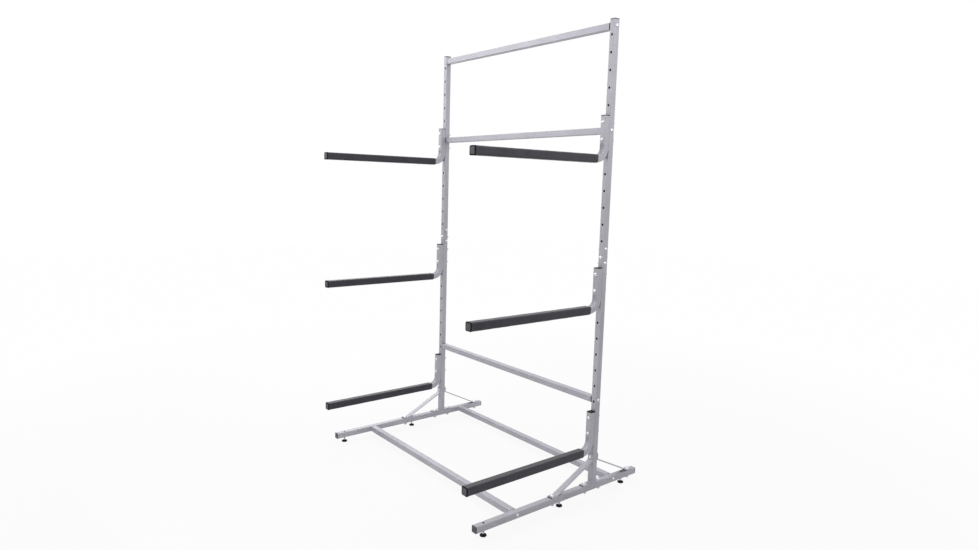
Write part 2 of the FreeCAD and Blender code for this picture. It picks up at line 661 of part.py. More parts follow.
def hex_nut(name, bore, across_flats, height):
    """A hex nut from 0 up along +Z."""
    body = new_body(name)
    flats = new_sketch(body, "Hex", "XY_Plane")
    add_hexagon(flats, across_flats)
    add_circle(flats, "0", "0", bore)
    pad(body, flats, height)
    return body


def lock_nut(name):
    """A hex nut with a round locking collar on top."""
    bore = "(Sizes.bolt_dia + 2 * Sizes.thread_play)"
    body = hex_nut(name, bore, size("nut_size"), size("nut_height"))
    ring = new_sketch(body, "Collar", "XY_Plane", size("nut_height"))
    add_circle(ring, "0", "0", size("collar_dia"))
    add_circle(ring, "0", "0", bore)
    pad(body, ring, size("collar_height"))
    return body


def tube_plug(name, bored=False):
    """A plastic plug: a flat head on the tube's end at 0 and a hollow shank down into the tube."""
    body = new_body(name)
    head = new_sketch(body, "Head", "XY_Plane")
    add_round_rectangle(head, size("tube_size"), size("tube_size"), size("tube_corner"))
    pad(body, head, size("cap_flange"))
    shank = new_sketch(body, "Shank", "XY_Plane")
    add_round_rectangle(shank, PLUG, PLUG, PLUG_CORNER)
    hollow = f"({PLUG} - 2 * Sizes.cap_wall)"
    add_round_rectangle(shank, hollow, hollow, f"({PLUG_CORNER} / 2)")
    pad(body, shank, size("cap_depth")).Reversed = True
    doc.recompute()
    top = amount(size("cap_flange"))
    rim = [f"Edge{k}" for k, edge in enumerate(body.Shape.Edges, start=1)
           if abs(edge.BoundBox.ZMin - top) < TOUCHING and abs(edge.BoundBox.ZMax - top) < TOUCHING]
    square_edged = body.Tip
    rounding = body.newObject("PartDesign::Fillet", "RoundedRim")
    rounding.Base = (square_edged, rim)
    rounding.setExpression("Radius", size("cap_round"))
    body.Tip = rounding
    if bored:
        doc.recompute()
        bolt_hole = new_sketch(body, "BoltHole", "XY_Plane")
        add_circle(bolt_hole, "0", "0", size("hole_dia"))
        drill(body, bolt_hole)
    return body


def group(label, pattern, spots):
    """One node of equal pieces, each a link to the pattern at its own spot."""
    links = []
    for x, y, z, turn in spots:
        link = doc.addObject("App::Link", f"{label}_piece")
        link.LinkedObject = pattern
        place(link, x, y, z, turn)
        links.append(link)
    compound = doc.addObject("Part::Compound", label)
    compound.Label = label
    compound.Links = links
    return keep(compound)


def build_frame():
    for side, word in SIDES:
        leg(f"leg_{word}", side)
        base_plate(f"base_plate_{word}", side)
        post_tube(f"post_lower_{word}", side, PLATE_TOP, SEAM_Z, [BAR_HEIGHTS["low"]], [BRACE_BOLT_Z])
        upper_bolts = [BAR_HEIGHTS["top"], BAR_HEIGHTS["middle"], *SPLICE_SIDE_Z]
        post_tube(f"post_upper_{word}", side, SEAM_Z, size("post_top"), upper_bolts)
        splice_sleeve(f"splice_sleeve_{word}", side)
        brace(f"brace_front_{word}", side, POST_FRONT, UPRIGHT)
        brace(f"brace_rear_{word}", side, POST_REAR, HALF_TURN)
    for word, height in BAR_HEIGHTS.items():
        crossbar(f"crossbar_{word}", POST_Y, height)
    for word, y in BASE_BARS.items():
        crossbar(f"base_bar_{word}", y, LEG_AXIS)


def build_arms():
    arm = arm_pattern()
    for level in ARM_LEVELS:
        for side, word in SIDES:
            spot = (f"{side} * {POST_X}", POST_FRONT, arm_hole_height(level, 0), UPRIGHT)
            group(f"arm_{level}_{word}", arm, [spot])
            foam_sleeve(f"foam_{level}_{word}", side, level)


def build_feet():
    for side, word in SIDES:
        for where, y in FEET.items():
            foot_pad(f"foot_pad_{where}_{word}", f"{side} * {POST_X}", y)
            foot_stem(f"foot_stem_{where}_{word}", f"{side} * {POST_X}", y)


def build_plugs():
    plug = tube_plug("tube_plug")
    leg_ends = ((LEG_FRONT, AGAINST_Y), (LEG_REAR, ALONG_Y))
    group("leg_end_plugs", plug, [(f"{side} * {POST_X}", y, LEG_AXIS, turn)
                                  for side, word in SIDES for y, turn in leg_ends])
    group("post_top_plugs", plug, [(f"{side} * {POST_X}", POST_Y, size("post_top"), UPRIGHT)
                                   for side, word in SIDES])
    arm_y = f"({POST_FRONT} - {HALF_TUBE})"
    arm_tops = []
    arm_tips = []
    for level in ARM_LEVELS:
        for side, word in SIDES:
            x = f"{side} * {POST_X}"
            arm_tops.append((x, arm_y, f"({arm_hole_height(level, 1)} + Sizes.arm_head)", UPRIGHT))
            arm_tips.append((x, f"({POST_FRONT} - {ARM_TUBE_TIP})",
                             f"({arm_hole_height(level, 0)} - Sizes.arm_drop)", AGAINST_Y))
    bar_lines = [(POST_Y, z) for z in BAR_HEIGHTS.values()] + [(y, LEG_AXIS) for y in BASE_BARS.values()]
    bar_ends = ((LEFT, AGAINST_X), (RIGHT, ALONG_X))
    group("crossbar_plugs", tube_plug("bored_plug", bored=True),
          [(f"{side} * {BAR_LENGTH} / 2", y, z, turn) for y, z in bar_lines for side, turn in bar_ends])
    group("arm_top_plugs", plug, arm_tops)
    group("arm_tip_plugs", plug, arm_tips)


def nut_spots(spots, grip):
    """Where the nuts sit: on the far side of what the bolts run through."""
    moved = []
    for x, y, z, turn in spots:
        way = turn.multVec(FreeCAD.Vector(0, 0, 1))
        shifts = [f"{round(part)} * {grip}" for part in (way.x, way.y, way.z)]
        moved.append((f"{x} + {shifts[0]}", f"{y} + {shifts[1]}", f"{z} + {shifts[2]}", turn))
    return moved


def through_bolts(name, spots, grip, nut):
    """Bolts through a grip with lock nuts on their far ends."""
    bolt = domed_bolt(f"{name}_bolt", f"({grip} + {NUT_STACK} + Sizes.bolt_stub)")
    group(f"{name}_bolts", bolt, spots)
    group(f"{name}_nuts", nut, nut_spots(spots, grip))


def build_fasteners():
    nut = lock_nut("lock_nut")
    tube = size("tube_size")
    arm_face = f"({POST_FRONT} - {tube})"
    arm_spots = [(f"{side} * {POST_X}", arm_face, arm_hole_height(level, step), ALONG_Y)
                 for side, word in SIDES for level in ARM_LEVELS for step in (0, 1)]
    through_bolts("arm", arm_spots, f"(2 * {tube})", nut)
    splice_spots = []
    for side, word in SIDES:
        outer = f"{side} * ({POST_X} + {HALF_TUBE})"
        inward = AGAINST_X if side == RIGHT else ALONG_X
        splice_spots += [(outer, POST_Y, z, inward) for z in SPLICE_SIDE_Z]
        splice_spots.append((f"{side} * {POST_X}", POST_FRONT, SPLICE_Z, ALONG_Y))
    through_bolts("splice", splice_spots, tube, nut)
    strap = size("strap_thick")
    brace_spots = [(f"{side} * {POST_X}", f"({POST_FRONT} - {strap})", BRACE_BOLT_Z, ALONG_Y)
                   for side, word in SIDES]
    through_bolts("brace_post", brace_spots, f"({tube} + 2 * {strap})", nut)
    tab_spots = [(f"{side} * {POST_X}", y, f"({LEG_TOP} + {strap})", HEAD_DOWN)
                 for side, word in SIDES for y in BRACE_FOOT_Y.values()]
    through_bolts("brace_foot", tab_spots, f"({tube} + {strap})", nut)
    plate_spots = [(f"{side} * {POST_X}", y, PLATE_TOP, HEAD_DOWN)
                   for side, word in SIDES for y in PLATE_BOLT_Y]
    through_bolts("base_plate", plate_spots, f"({tube} + Sizes.plate_thick)", nut)
    reach = f"({size('cap_flange')} + {BAR_PLATE} + {size('end_plate')} + {size('bolt_stub')})"
    bar_bolt = domed_bolt("bar_bolt", f"({tube} + {reach})")
    bar_spots = []
    for side, word in SIDES:
        outer = f"{side} * ({POST_X} + {HALF_TUBE})"
        inward = AGAINST_X if side == RIGHT else ALONG_X
        bar_spots += [(outer, POST_Y, z, inward) for z in BAR_HEIGHTS.values()]
        bar_spots += [(outer, y, LEG_AXIS, inward) for y in BASE_BARS.values()]
    group("crossbar_bolts", bar_bolt, bar_spots)
    foot_nut = hex_nut("foot_nut", "(Sizes.stem_dia + 2 * Sizes.stem_play)",
                       size("weld_nut_size"), size("weld_nut_height"))
    inside_leg = f"({size('floor_gap')} + {size('tube_wall')})"
    group("foot_weld_nuts", foot_nut, [(f"{side} * {POST_X}", y, inside_leg, UPRIGHT)
                                       for side, word in SIDES for y in FEET.values()])


def faults():
    """What failed to build, in words."""
    found = [f"{thing.Label}: {thing.State}" for thing in doc.Objects
             if "Invalid" in thing.State or "Error" in thing.State]
    for node in NODES:
        shape = node.Shape
        if shape.isNull() or not shape.isValid() or not shape.Solids:
            found.append(f"{node.Label}: no sound shape")
    return found


def main():
    build_frame()
    build_arms()
    build_feet()
    build_plugs()
    build_fasteners()
    doc.recompute()
    found = faults()
    if found:
        raise SystemExit("\n".join(found))
    os.makedirs("parts", exist_ok=True)
    for node in NODES:
        node.Shape.exportStep(f"parts/{node.Label}.step")
    whole = Part.makeCompound([node.Shape for node in NODES])
    box = whole.BoundBox
    print(f"{len(NODES)} nodes, {len(whole.Solids)} solids, volume {whole.Volume / 1e6:.3f} litres")
    print(f"X {box.XMin:.1f} to {box.XMax:.1f}, Y {box.YMin:.1f} to {box.YMax:.1f}, "
          f"Z {box.ZMin:.1f} to {box.ZMax:.1f}")


main()
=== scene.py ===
# %% [markdown]
# # A freestanding board rack
# The real rack is a bolted frame of silver square tube. Six bent arms in foam sleeves
# carry the boards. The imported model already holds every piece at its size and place,
# so this lesson adds what a camera sees and an engineer's model leaves out: crushed
# bends, soft foam, screw threads, eased edges, weld ripples and the finish of each
# surface. Everything is in metres and in the model's own frame.

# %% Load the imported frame
import json
import math
from functools import partial

import bmesh
import bpy
from mathutils import Matrix, Vector


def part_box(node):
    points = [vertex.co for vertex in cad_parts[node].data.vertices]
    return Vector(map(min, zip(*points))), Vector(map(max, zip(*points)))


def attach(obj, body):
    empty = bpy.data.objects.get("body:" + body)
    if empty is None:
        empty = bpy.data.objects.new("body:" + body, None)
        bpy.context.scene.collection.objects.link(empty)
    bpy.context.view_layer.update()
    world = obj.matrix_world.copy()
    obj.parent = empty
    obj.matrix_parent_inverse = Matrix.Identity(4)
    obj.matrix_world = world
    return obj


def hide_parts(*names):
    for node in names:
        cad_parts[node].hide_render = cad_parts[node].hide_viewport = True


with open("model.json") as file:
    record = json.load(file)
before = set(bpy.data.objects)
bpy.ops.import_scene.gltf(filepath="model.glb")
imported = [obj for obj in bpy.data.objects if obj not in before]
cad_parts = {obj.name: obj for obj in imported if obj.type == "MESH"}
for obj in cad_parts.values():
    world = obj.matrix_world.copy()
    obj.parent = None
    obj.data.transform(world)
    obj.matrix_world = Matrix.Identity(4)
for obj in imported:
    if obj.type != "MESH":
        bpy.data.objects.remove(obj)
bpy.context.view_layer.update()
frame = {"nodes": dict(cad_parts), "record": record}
NODES = frame["nodes"]
MM = 0.001
SIDES = {"left": -1, "right": 1}
LEVELS = ("top", "middle", "bottom")
FOOT_SPOTS = ("front", "middle", "rear")

# %% [markdown]
# ## Tools for every finish
# Colours are noted down as sRGB hex, the way a paint chart or a photograph gives them,
# but shaders reckon in linear light, so one function converts them. A second function
# adds any node with its settings and its links, because building node by node by hand
# would bury the idea of each finish under housekeeping. Two more make what nearly every
# finish shares: a tone that drifts, and a fine grain that breaks up the gloss.

# %% Colour and node helpers
TONE_STOPS = (0.3, 0.7)


def from_hex(code):
    """An sRGB hex colour as linear RGBA."""
    channels = [int(code[k:k + 2], 16) / 255 for k in (0, 2, 4)]
    linear = [c / 12.92 if c <= 0.04045 else ((c + 0.055) / 1.055) ** 2.4 for c in channels]
    return (*linear, 1.0)


def set_inputs(node, inputs):
    """Set inputs by name, or in order from a list. Sockets are linked, and nodes by their first output."""
    pairs = inputs.items() if isinstance(inputs, dict) else enumerate(inputs)
    for key, value in pairs:
        if isinstance(value, bpy.types.Node):
            value = value.outputs[0]
        if isinstance(value, bpy.types.NodeSocket):
            node.id_data.links.new(value, node.inputs[key])
        else:
            node.inputs[key].default_value = value


def add_node(tree, kind, inputs=(), **settings):
    """Add a node with its settings and its inputs."""
    node = tree.nodes.new(kind)
    for name, value in settings.items():
        setattr(node, name, value)
    set_inputs(node, inputs)
    return node


def new_material(name, **sockets):
    """A material with one Principled shader whose constant values sit on its own sockets."""
    material = bpy.data.materials.new(name)
    material.use_nodes = True
    shader = material.node_tree.nodes["Principled BSDF"]
    set_inputs(shader, {socket.replace("_", " "): value for socket, value in sockets.items()})
    add = partial(add_node, material.node_tree)
    position = add("ShaderNodeTexCoord").outputs["Object"]
    return material, add, shader, position


def per_metre(millimetres):
    """Texture scale that gives a pattern of this size."""
    return 1 / (millimetres * MM)


def drifting_tone(add, position, size, detail, dark, light):
    """A colour that drifts between two sRGB tones, in blotches of a size in millimetres."""
    blotch = add("ShaderNodeTexNoise", {"Vector": position, "Scale": per_metre(size), "Detail": detail})
    ramp = add("ShaderNodeValToRGB", {"Fac": blotch.outputs["Fac"]})
    for element, place, code in zip(ramp.color_ramp.elements, TONE_STOPS, (dark, light)):
        element.position = place
        element.color = from_hex(code)
    return ramp


def break_gloss(add, shader, position, size, detail, smoothest, roughest, relief=0.0, depth=0.0):
    """Let a grain of a size in millimetres break up the gloss, and the surface if it has relief."""
    grain = add("ShaderNodeTexNoise", {
        "Vector": position, "Scale": per_metre(size), "Detail": detail}).outputs["Fac"]
    rough = add("ShaderNodeMapRange", {"Value": grain, "To Min": smoothest, "To Max": roughest})
    set_inputs(shader, {"Roughness": rough})
    if relief:
        bump = add("ShaderNodeBump", {"Strength": relief, "Distance": depth, "Height": grain})
        set_inputs(shader, {"Normal": bump})


# %% [markdown]
# ## Silver powder coat
# Every tube, strap and plate is steel under a baked silver powder coat. The powder melts
# into a satin film with a faint orange-peel ripple, and its aluminium flake makes it partly
# metallic: it shades softly but still shows a broad sheen. Real peel is about 2 mm across
# and the flake far finer, so both are drawn coarser than life to survive at this distance.

# %% Powder-coated steel
DRIFT = 160.0
FLAKE = 2.5
SPARKLE = 0.02
PEEL = 5.0


def powder_coated_steel():
    material, add, shader, position = new_material(
        "Powder-coated steel, silver", Metallic=0.35, Coat_Weight=0.06, Coat_Roughness=0.3)
    tone = drifting_tone(add, position, DRIFT, 3.0, "B4B3BB", "BEBDC6")
    flake = add("ShaderNodeTexVoronoi", {"Vector": position, "Scale": per_metre(FLAKE)})
    sparkle = add("ShaderNodeMapRange", {
        "Value": flake.outputs["Color"], "To Min": 1 - SPARKLE, "To Max": 1 + SPARKLE})
    colour = add("ShaderNodeMix", {
        "Factor": 1.0, "A": tone, "B": sparkle}, data_type="RGBA", blend_type="MULTIPLY")
    set_inputs(shader, {"Base Color": colour.outputs["Result"]})
    break_gloss(add, shader, position, PEEL, 2.0,
                smoothest=0.42, roughest=0.5, relief=0.05, depth=0.2 * MM)
    return material


# %% [markdown]
# ## Bright zinc
# Bolts, nuts and foot stems are steel under a thin electroplated layer of zinc. The layer
# is bright but never a mirror: handling leaves a cloudy bloom and fine scuffs, so the
# roughness drifts from spot to spot. The scuffs are drawn at 1.5 mm, coarser than life.

# %% Zinc-plated steel
BLOOM = 7.0
SCUFF = 1.5


def zinc_plated_steel():
    material, add, shader, position = new_material("Zinc-plated steel, bright", Metallic=1.0)
    set_inputs(shader, {"Base Color": drifting_tone(add, position, BLOOM, 3.0, "CBCDD1", "E3E5E8")})
    break_gloss(add, shader, position, SCUFF, 4.0,
                smoothest=0.16, roughest=0.36, relief=0.05, depth=0.1 * MM)
    return material


# %% [markdown]
# ## Charcoal foam
# The sleeves are extruded closed-cell foam. Its skin is smooth enough to mirror a bright
# room at a low angle, so the upper faces look paler than the sides, and a little sheen
# stands for the light that comes back softly at the edges. The faces at a sleeve's cut tip
# get a near-black copy of the foam. Real cells are under half a millimetre, and are drawn
# at 2.5 mm to show at all.

# %% Closed-cell foam
SKIN = 45.0
CELL = 2.5


def closed_cell_foam(name, dark, light, sheen, gloss, rough):
    material, add, shader, position = new_material(
        name, Roughness=rough, Sheen_Weight=sheen, Sheen_Roughness=0.55, Specular_IOR_Level=gloss)
    cells = add("ShaderNodeTexVoronoi", {"Vector": position, "Scale": per_metre(CELL)})
    bump = add("ShaderNodeBump", {
        "Strength": 0.2, "Distance": 0.4 * MM, "Height": cells.outputs["Distance"]})
    tone = drifting_tone(add, position, SKIN, 5.0, dark, light)
    set_inputs(shader, {"Base Color": tone, "Normal": bump})
    return material


# %% [markdown]
# ## Black plastic and rubber
# The plugs and the foot pads come out of steel moulds. The mould is etched with a fine
# grain, so the plastic has a low, slightly broken gloss. The plugs that look up stay deep
# black. Those at the arms' tips, the leg ends and the crossbars above the base get a grey
# copy of the same plastic, as painted light on ends that face the lamps.
# The pads must not slip, so theirs is a nearly matt rubber that swallows most light. One
# function makes all three, because only their tones and their gloss differ. The real grain
# is a few tenths of a millimetre, drawn at 1.6 mm.

# %% Moulded plastic and rubber
CLOUD = 18.0
MOULD_GRAIN = 1.6


def moulded(name, dark, light, gloss, smoothest, roughest):
    material, add, shader, position = new_material(name, Specular_IOR_Level=gloss)
    set_inputs(shader, {"Base Color": drifting_tone(add, position, CLOUD, 2.0, dark, light)})
    break_gloss(add, shader, position, MOULD_GRAIN, 3.0, smoothest, roughest, relief=0.15, depth=0.15 * MM)
    return material


# %% [markdown]
# ## Bare steel and painted shade in the bores
# Sprayed powder hardly gets inside a tube, so the bores keep the blue-black scale that the
# steel got in the rolling mill. Its tone here is painted darker than scale, near black, as
# painted shade for the unlit inside of the tube, so the rows of holes look black. The scale
# is blotchy at about a centimetre and dull, with a little of the metal's own sheen.

# %% Mill-scaled steel with painted shade
SCALE_BLOTCH = 9.0


def mill_scale_and_painted_shade():
    material, add, shader, position = new_material("Hot-rolled steel, mill scale and painted shade", Metallic=0.3)
    # The near-black tones are mill scale darkened by painted shade for the unlit bore.
    tone = drifting_tone(add, position, SCALE_BLOTCH, 4.0, "0E0E11", "18181B")
    set_inputs(shader, {"Base Color": tone})
    break_gloss(add, shader, position, SCALE_BLOTCH, 4.0, smoothest=0.5, roughest=0.75)
    return material


# %% All finishes
FINISHES = {
    "powder_coat": powder_coated_steel(),
    "zinc": zinc_plated_steel(),
    "foam": closed_cell_foam(
        "Closed-cell foam, charcoal", "22212B", "2D2C38", sheen=0.24, gloss=0.38, rough=0.48),
    "black_plastic": moulded(
        "Moulded polyethylene, black", "101012", "17171A", gloss=0.3, smoothest=0.5, roughest=0.66),
}
# A near-black copy of the foam, for the faces at each sleeve's cut tip.
CUT_FOAM = closed_cell_foam("Closed-cell foam, cut", "08080A", "0E0E11", sheen=0.0, gloss=0.1, rough=0.8)
# A grey copy of the black plastic: painted light for plug ends that face the lamps.
PAINTED_LIT_PLASTIC = moulded(
    "Moulded polyethylene, painted lit grey", "444448", "505055", gloss=0.5, smoothest=0.36, roughest=0.52)
PAD_RUBBER = moulded("Moulded rubber, black", "0A0A0B", "111113", gloss=0.25, smoothest=0.5, roughest=0.7)
BARE_STEEL_AND_SHADE = mill_scale_and_painted_shade()
for row in frame["record"]["subparts"]:
    coated = NODES[row["node"]].data.materials
    coated.clear()
    coated.append(FINISHES[row["material_slot"]])
print("finishes:", [material.name for material in FINISHES.values()])

# %% [markdown]
# ## Tools for shapes
# Two ways of making a mesh serve the whole rack. A loft skins a row of rings, which suits
# turned and moulded pieces. A Geometry Nodes tree sweeps a section along a path or repeats
# a pattern, which suits bent bars and fasteners. Either way the result becomes a plain mesh
# whose place is in its points, and then gets smooth shading that breaks at real edges.
# Weighted normals keep the flats flat right up to their small rounded corners.

# %% Shape helpers
QUARTER = [math.radians(15 * k) for k in range(7)]
END_REACH = 0.5 * MM
END_FACING = 0.9
EASE_MIDDLE = 0.3
SEAM_GAP = 1e-7


def link(name, data):
    thing = bpy.data.objects.new(name, data)
    bpy.context.scene.collection.objects.link(thing)
    return thing


def new_mesh(name, points, edges=(), faces=()):
    mesh = bpy.data.meshes.new(name)
    mesh.from_pydata(points, edges, faces)
    return mesh


def bake(thing):
    """The plain mesh that an object's modifiers make. The object itself goes."""
    graph = bpy.context.evaluated_depsgraph_get()
    mesh = bpy.data.meshes.new_from_object(thing.evaluated_get(graph))
    bpy.data.objects.remove(thing)
    return mesh


def new_tree(name, sockets):
    """A Geometry Nodes tree with named inputs: a way to add nodes, and the inputs' values."""
    tree = bpy.data.node_groups.new(name, "GeometryNodeTree")
    tree.interface.new_socket("Geometry", in_out="INPUT", socket_type="NodeSocketGeometry")
    for label, kind in sockets.items():
        tree.interface.new_socket(label, in_out="INPUT", socket_type=f"NodeSocket{kind}")
    tree.interface.new_socket("Material", in_out="INPUT", socket_type="NodeSocketMaterial")
    tree.interface.new_socket("Geometry", in_out="OUTPUT", socket_type="NodeSocketGeometry")
    add = partial(add_node, tree)
    return add, add("NodeGroupInput").outputs


def end_tree(add, given, geometry, bare=None):
    """Close a tree: real faces in place of instances, with their material, and bare faces apart, with the
    bore finish that paints their shade.
    """
    real = add("GeometryNodeRealizeInstances", {"Geometry": geometry})
    coated = add("GeometryNodeSetMaterial", {"Geometry": real, "Material": given["Material"]})
    if bare is not None:
        coated = add("GeometryNodeSetMaterial", {
            "Geometry": coated, "Selection": bare, "Material": given["Bare and shaded"]})
    tree = add("NodeGroupOutput", {"Geometry": coated}).id_data
    print(tree.name, "tree:", len(tree.nodes), "nodes")
    return tree


def grow(tree, source, values):
    """What a tree makes of a source mesh, as a plain mesh."""
    holder = link("Source", source)
    modifier = holder.modifiers.new("Tree", "NODES")
    modifier.node_group = tree
    for item in tree.interface.items_tree:
        if item.in_out == "INPUT" and item.name in values:
            modifier[item.identifier] = values[item.name]
    return bake(holder)


def path_mesh(stops):
    """A chain of edges through the stops."""
    return new_mesh("Path", stops, edges=[(k, k + 1) for k in range(len(stops) - 1)])


def loft(rings, closed=False):
    """Skin equal rings of points. A closed loft joins its ends, and an open one is capped."""
    count = len(rings[0])
    starts = [count * k for k in range(len(rings))]
    spans = list(zip(starts, starts[1:]))
    faces = []
    if closed:
        spans.append((starts[-1], starts[0]))
    else:
        faces = [range(count)[::-1], range(starts[-1], starts[-1] + count)]
    for here, there in spans:
        for k in range(count):
            after = (k + 1) % count
            faces.append((here + k, here + after, there + after, there + k))
    return new_mesh("Loft", [point for ring in rings for point in ring], faces=faces)


def circle(radius, height, sides):
    """Points round the Z axis."""
    angles = [math.tau * k / sides for k in range(sides)]
    return [(radius * math.cos(angle), radius * math.sin(angle), height) for angle in angles]


def lathe(profile, sides=48):
    """Turn (radius, height) points about the Z axis."""
    return loft([circle(radius, height, sides) for radius, height in profile])


def join(*meshes):
    """Several meshes as one."""
    shell = bmesh.new()
    for mesh in meshes:
        shell.from_mesh(mesh)
    joined = bpy.data.meshes.new("Joined")
    shell.to_mesh(joined)
    shell.free()
    return joined


def moved(mesh, x=0.0, y=0.0, z=0.0):
    """A copy of a mesh at another place."""
    copy = mesh.copy()
    copy.transform(Matrix.Translation((x, y, z)))
    return copy


def dark_ends(mesh, ends):
    """Give faces that look towards an end, at one of the Y places, the near-black finish of the bores."""
    mesh.materials.clear()
    mesh.materials.append(FINISHES["powder_coat"])
    mesh.materials.append(BARE_STEEL_AND_SHADE)
    for face in mesh.polygons:
        at_end = any(abs(face.center.y - y) < END_REACH for y in ends)
        face.material_index = int(at_end and abs(face.normal.y) > END_FACING)
    return mesh


def outward(mesh):
    """Close a mesh's seams and turn its faces outward."""
    shell = bmesh.new()
    shell.from_mesh(mesh)
    bmesh.ops.remove_doubles(shell, verts=shell.verts, dist=SEAM_GAP)
    bmesh.ops.recalc_face_normals(shell, faces=shell.faces)
    shell.to_mesh(mesh)
    shell.free()
    return mesh


def finish_piece(name, mesh, slot, nodes, body="frame", sharp=35.0, finish=None):
    """A finished piece that stands for CAD nodes: faces outward, crisp edges, even flats."""
    outward(mesh)
    if len(mesh.materials) < 2:
        mesh.materials.clear()
        mesh.materials.append(finish or FINISHES[slot])
    mesh.shade_smooth()
    mesh.set_sharp_from_angle(angle=math.radians(sharp))
    shaded = link(name, mesh)
    shaded.modifiers.new("Even flats", "WEIGHTED_NORMAL").keep_sharp = True
    piece = link(name, bake(shaded))
    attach(piece, body)
    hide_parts(*nodes)
    piece.data.calc_loop_triangles()
    print(name, "made:", len(piece.data.loop_triangles), "triangles, for", *nodes)
    return piece


def round_rectangle(half_width, half_height, corner, steps=6, cuts=0):
    """Points round a rectangle with rounded corners, with extra points on its sides."""
    points = []
    for quarter, (across, up) in enumerate(((1, 1), (-1, 1), (-1, -1), (1, -1))):
        centre = Vector((across * (half_width - corner), up * (half_height - corner)))
        for k in range(steps + 1):
            angle = math.radians(90 * (quarter + k / steps))
            points.append(centre + corner * Vector((math.cos(angle), math.sin(angle))))
        heading = math.radians(90 * (quarter + 2))
        side = 2 * (half_height - corner if quarter % 2 else half_width - corner)
        step = side / (cuts + 1) * Vector((math.cos(heading), math.sin(heading)))
        end = points[-1]
        points += [end + k * step for k in range(1, cuts + 1)]
    return points


# %% [markdown]
# ## Arms with crushed bends
# An arm is one square tube, bent cold round a die. The inner wall has nowhere to go, so the
# die presses a channel into it that runs round the bend and fades out on the straight runs.
# Cutting that channel would leave a hard rim. Instead a Geometry Nodes tree sweeps the tube
# along the arm's path and then pushes out every point that lies inside the die's ring, with
# a smooth maximum that rounds the rim as real metal does.

# %% Bent bar tree
TUBE = 30 * MM
TUBE_CORNER = 3 * MM
ARM_BEND = 50 * MM
BEND_STEPS = 36
EDGE_STEPS = 8
SECTION_POINTS = 112
DENT_DEPTH = 6 * MM
DENT_WIDTH = 22 * MM
DENT_EASING = 2.5 * MM
DIE = (DENT_WIDTH ** 2 / 4 + DENT_DEPTH ** 2) / (2 * DENT_DEPTH)
DIE_RING = ARM_BEND - TUBE / 2 + DENT_DEPTH - DIE
NO_DIE = (0.0, 0.0, -1.0)


def away_from(add, centre):
    """Each point's place as seen from a centre."""
    spot = add("GeometryNodeInputPosition")
    return add("ShaderNodeVectorMath", [spot, centre], operation="SUBTRACT")


def push(add, mesh, direction, distance):
    """Move each point of a mesh along a direction."""
    shift = add("ShaderNodeVectorMath", {0: direction, "Scale": distance}, operation="SCALE")
    return add("GeometryNodeSetPosition", {"Geometry": mesh, "Offset": shift})


def bent_bar_tree():
    """Sweep a rounded section along a path with bends, and crush one bend over a ring-shaped die."""
    add, given = new_tree("Bent bar", {
        "Width": "Float", "Thickness": "Float", "Edge": "Float", "Bend": "Float", "Bend steps": "Int",
        "Section points": "Int", "Die centre": "Vector", "Die ring": "Float", "Die": "Float",
        "Easing": "Float"})
    path = add("GeometryNodeMeshToCurve", {"Mesh": given["Geometry"]})
    bent = add("GeometryNodeFilletCurve", {
        "Curve": path, "Count": given["Bend steps"], "Radius": given["Bend"]}, mode="POLY")
    square = add("GeometryNodeCurvePrimitiveQuadrilateral", {
        "Width": given["Width"], "Height": given["Thickness"]})
    eased = add("GeometryNodeFilletCurve", {
        "Curve": square, "Count": EDGE_STEPS, "Radius": given["Edge"]}, mode="POLY")
    section = add("GeometryNodeResampleCurve", {"Curve": eased, "Count": given["Section points"]})
    bar = add("GeometryNodeCurveToMesh", {"Curve": bent, "Profile Curve": section, "Fill Caps": True})
    away = away_from(add, given["Die centre"])
    part = add("ShaderNodeSeparateXYZ", {"Vector": away}).outputs
    spoke = add("ShaderNodeCombineXYZ", {"Y": part["Y"], "Z": part["Z"]})
    reach = add("ShaderNodeVectorMath", [spoke], operation="LENGTH").outputs["Value"]
    die_square = add("ShaderNodeMath", [given["Die"], 2.0], operation="POWER")
    across_square = add("ShaderNodeMath", [part["X"], part["X"]], operation="MULTIPLY")
    left_over = add("ShaderNodeMath", [die_square, across_square], operation="SUBTRACT")
    inside = add("ShaderNodeMath", [left_over, 0.0], operation="MAXIMUM")
    bulge = add("ShaderNodeMath", [inside], operation="SQRT")
    die_reach = add("ShaderNodeMath", [bulge, given["Die ring"]], operation="ADD")
    pressed = add("ShaderNodeMath", [reach, die_reach, given["Easing"]], operation="SMOOTH_MAX")
    crush = add("ShaderNodeMath", [pressed, reach], operation="SUBTRACT")
    radial = add("ShaderNodeVectorMath", [spoke], operation="NORMALIZE")
    return end_tree(add, given, push(add, bar, radial, crush))


BENT_BAR = bent_bar_tree()


def bent_bar(stops, width, thickness, edge, bend, steps, die_centre=NO_DIE, die_ring=0.0, die=0.0):
    """A bar through the stops. Without a die its bends stay whole."""
    return grow(BENT_BAR, path_mesh(stops), {
        "Width": width, "Thickness": thickness, "Edge": edge, "Bend": bend, "Bend steps": steps,
        "Section points": SECTION_POINTS, "Die centre": die_centre, "Die ring": die_ring, "Die": die,
        "Easing": DENT_EASING, "Material": FINISHES["powder_coat"]})


# %% Arms
FADE_STEP = 1.5 * MM
FADE_COUNT = 17
FADE = [FADE_STEP * k for k in range(1, FADE_COUNT + 1)]


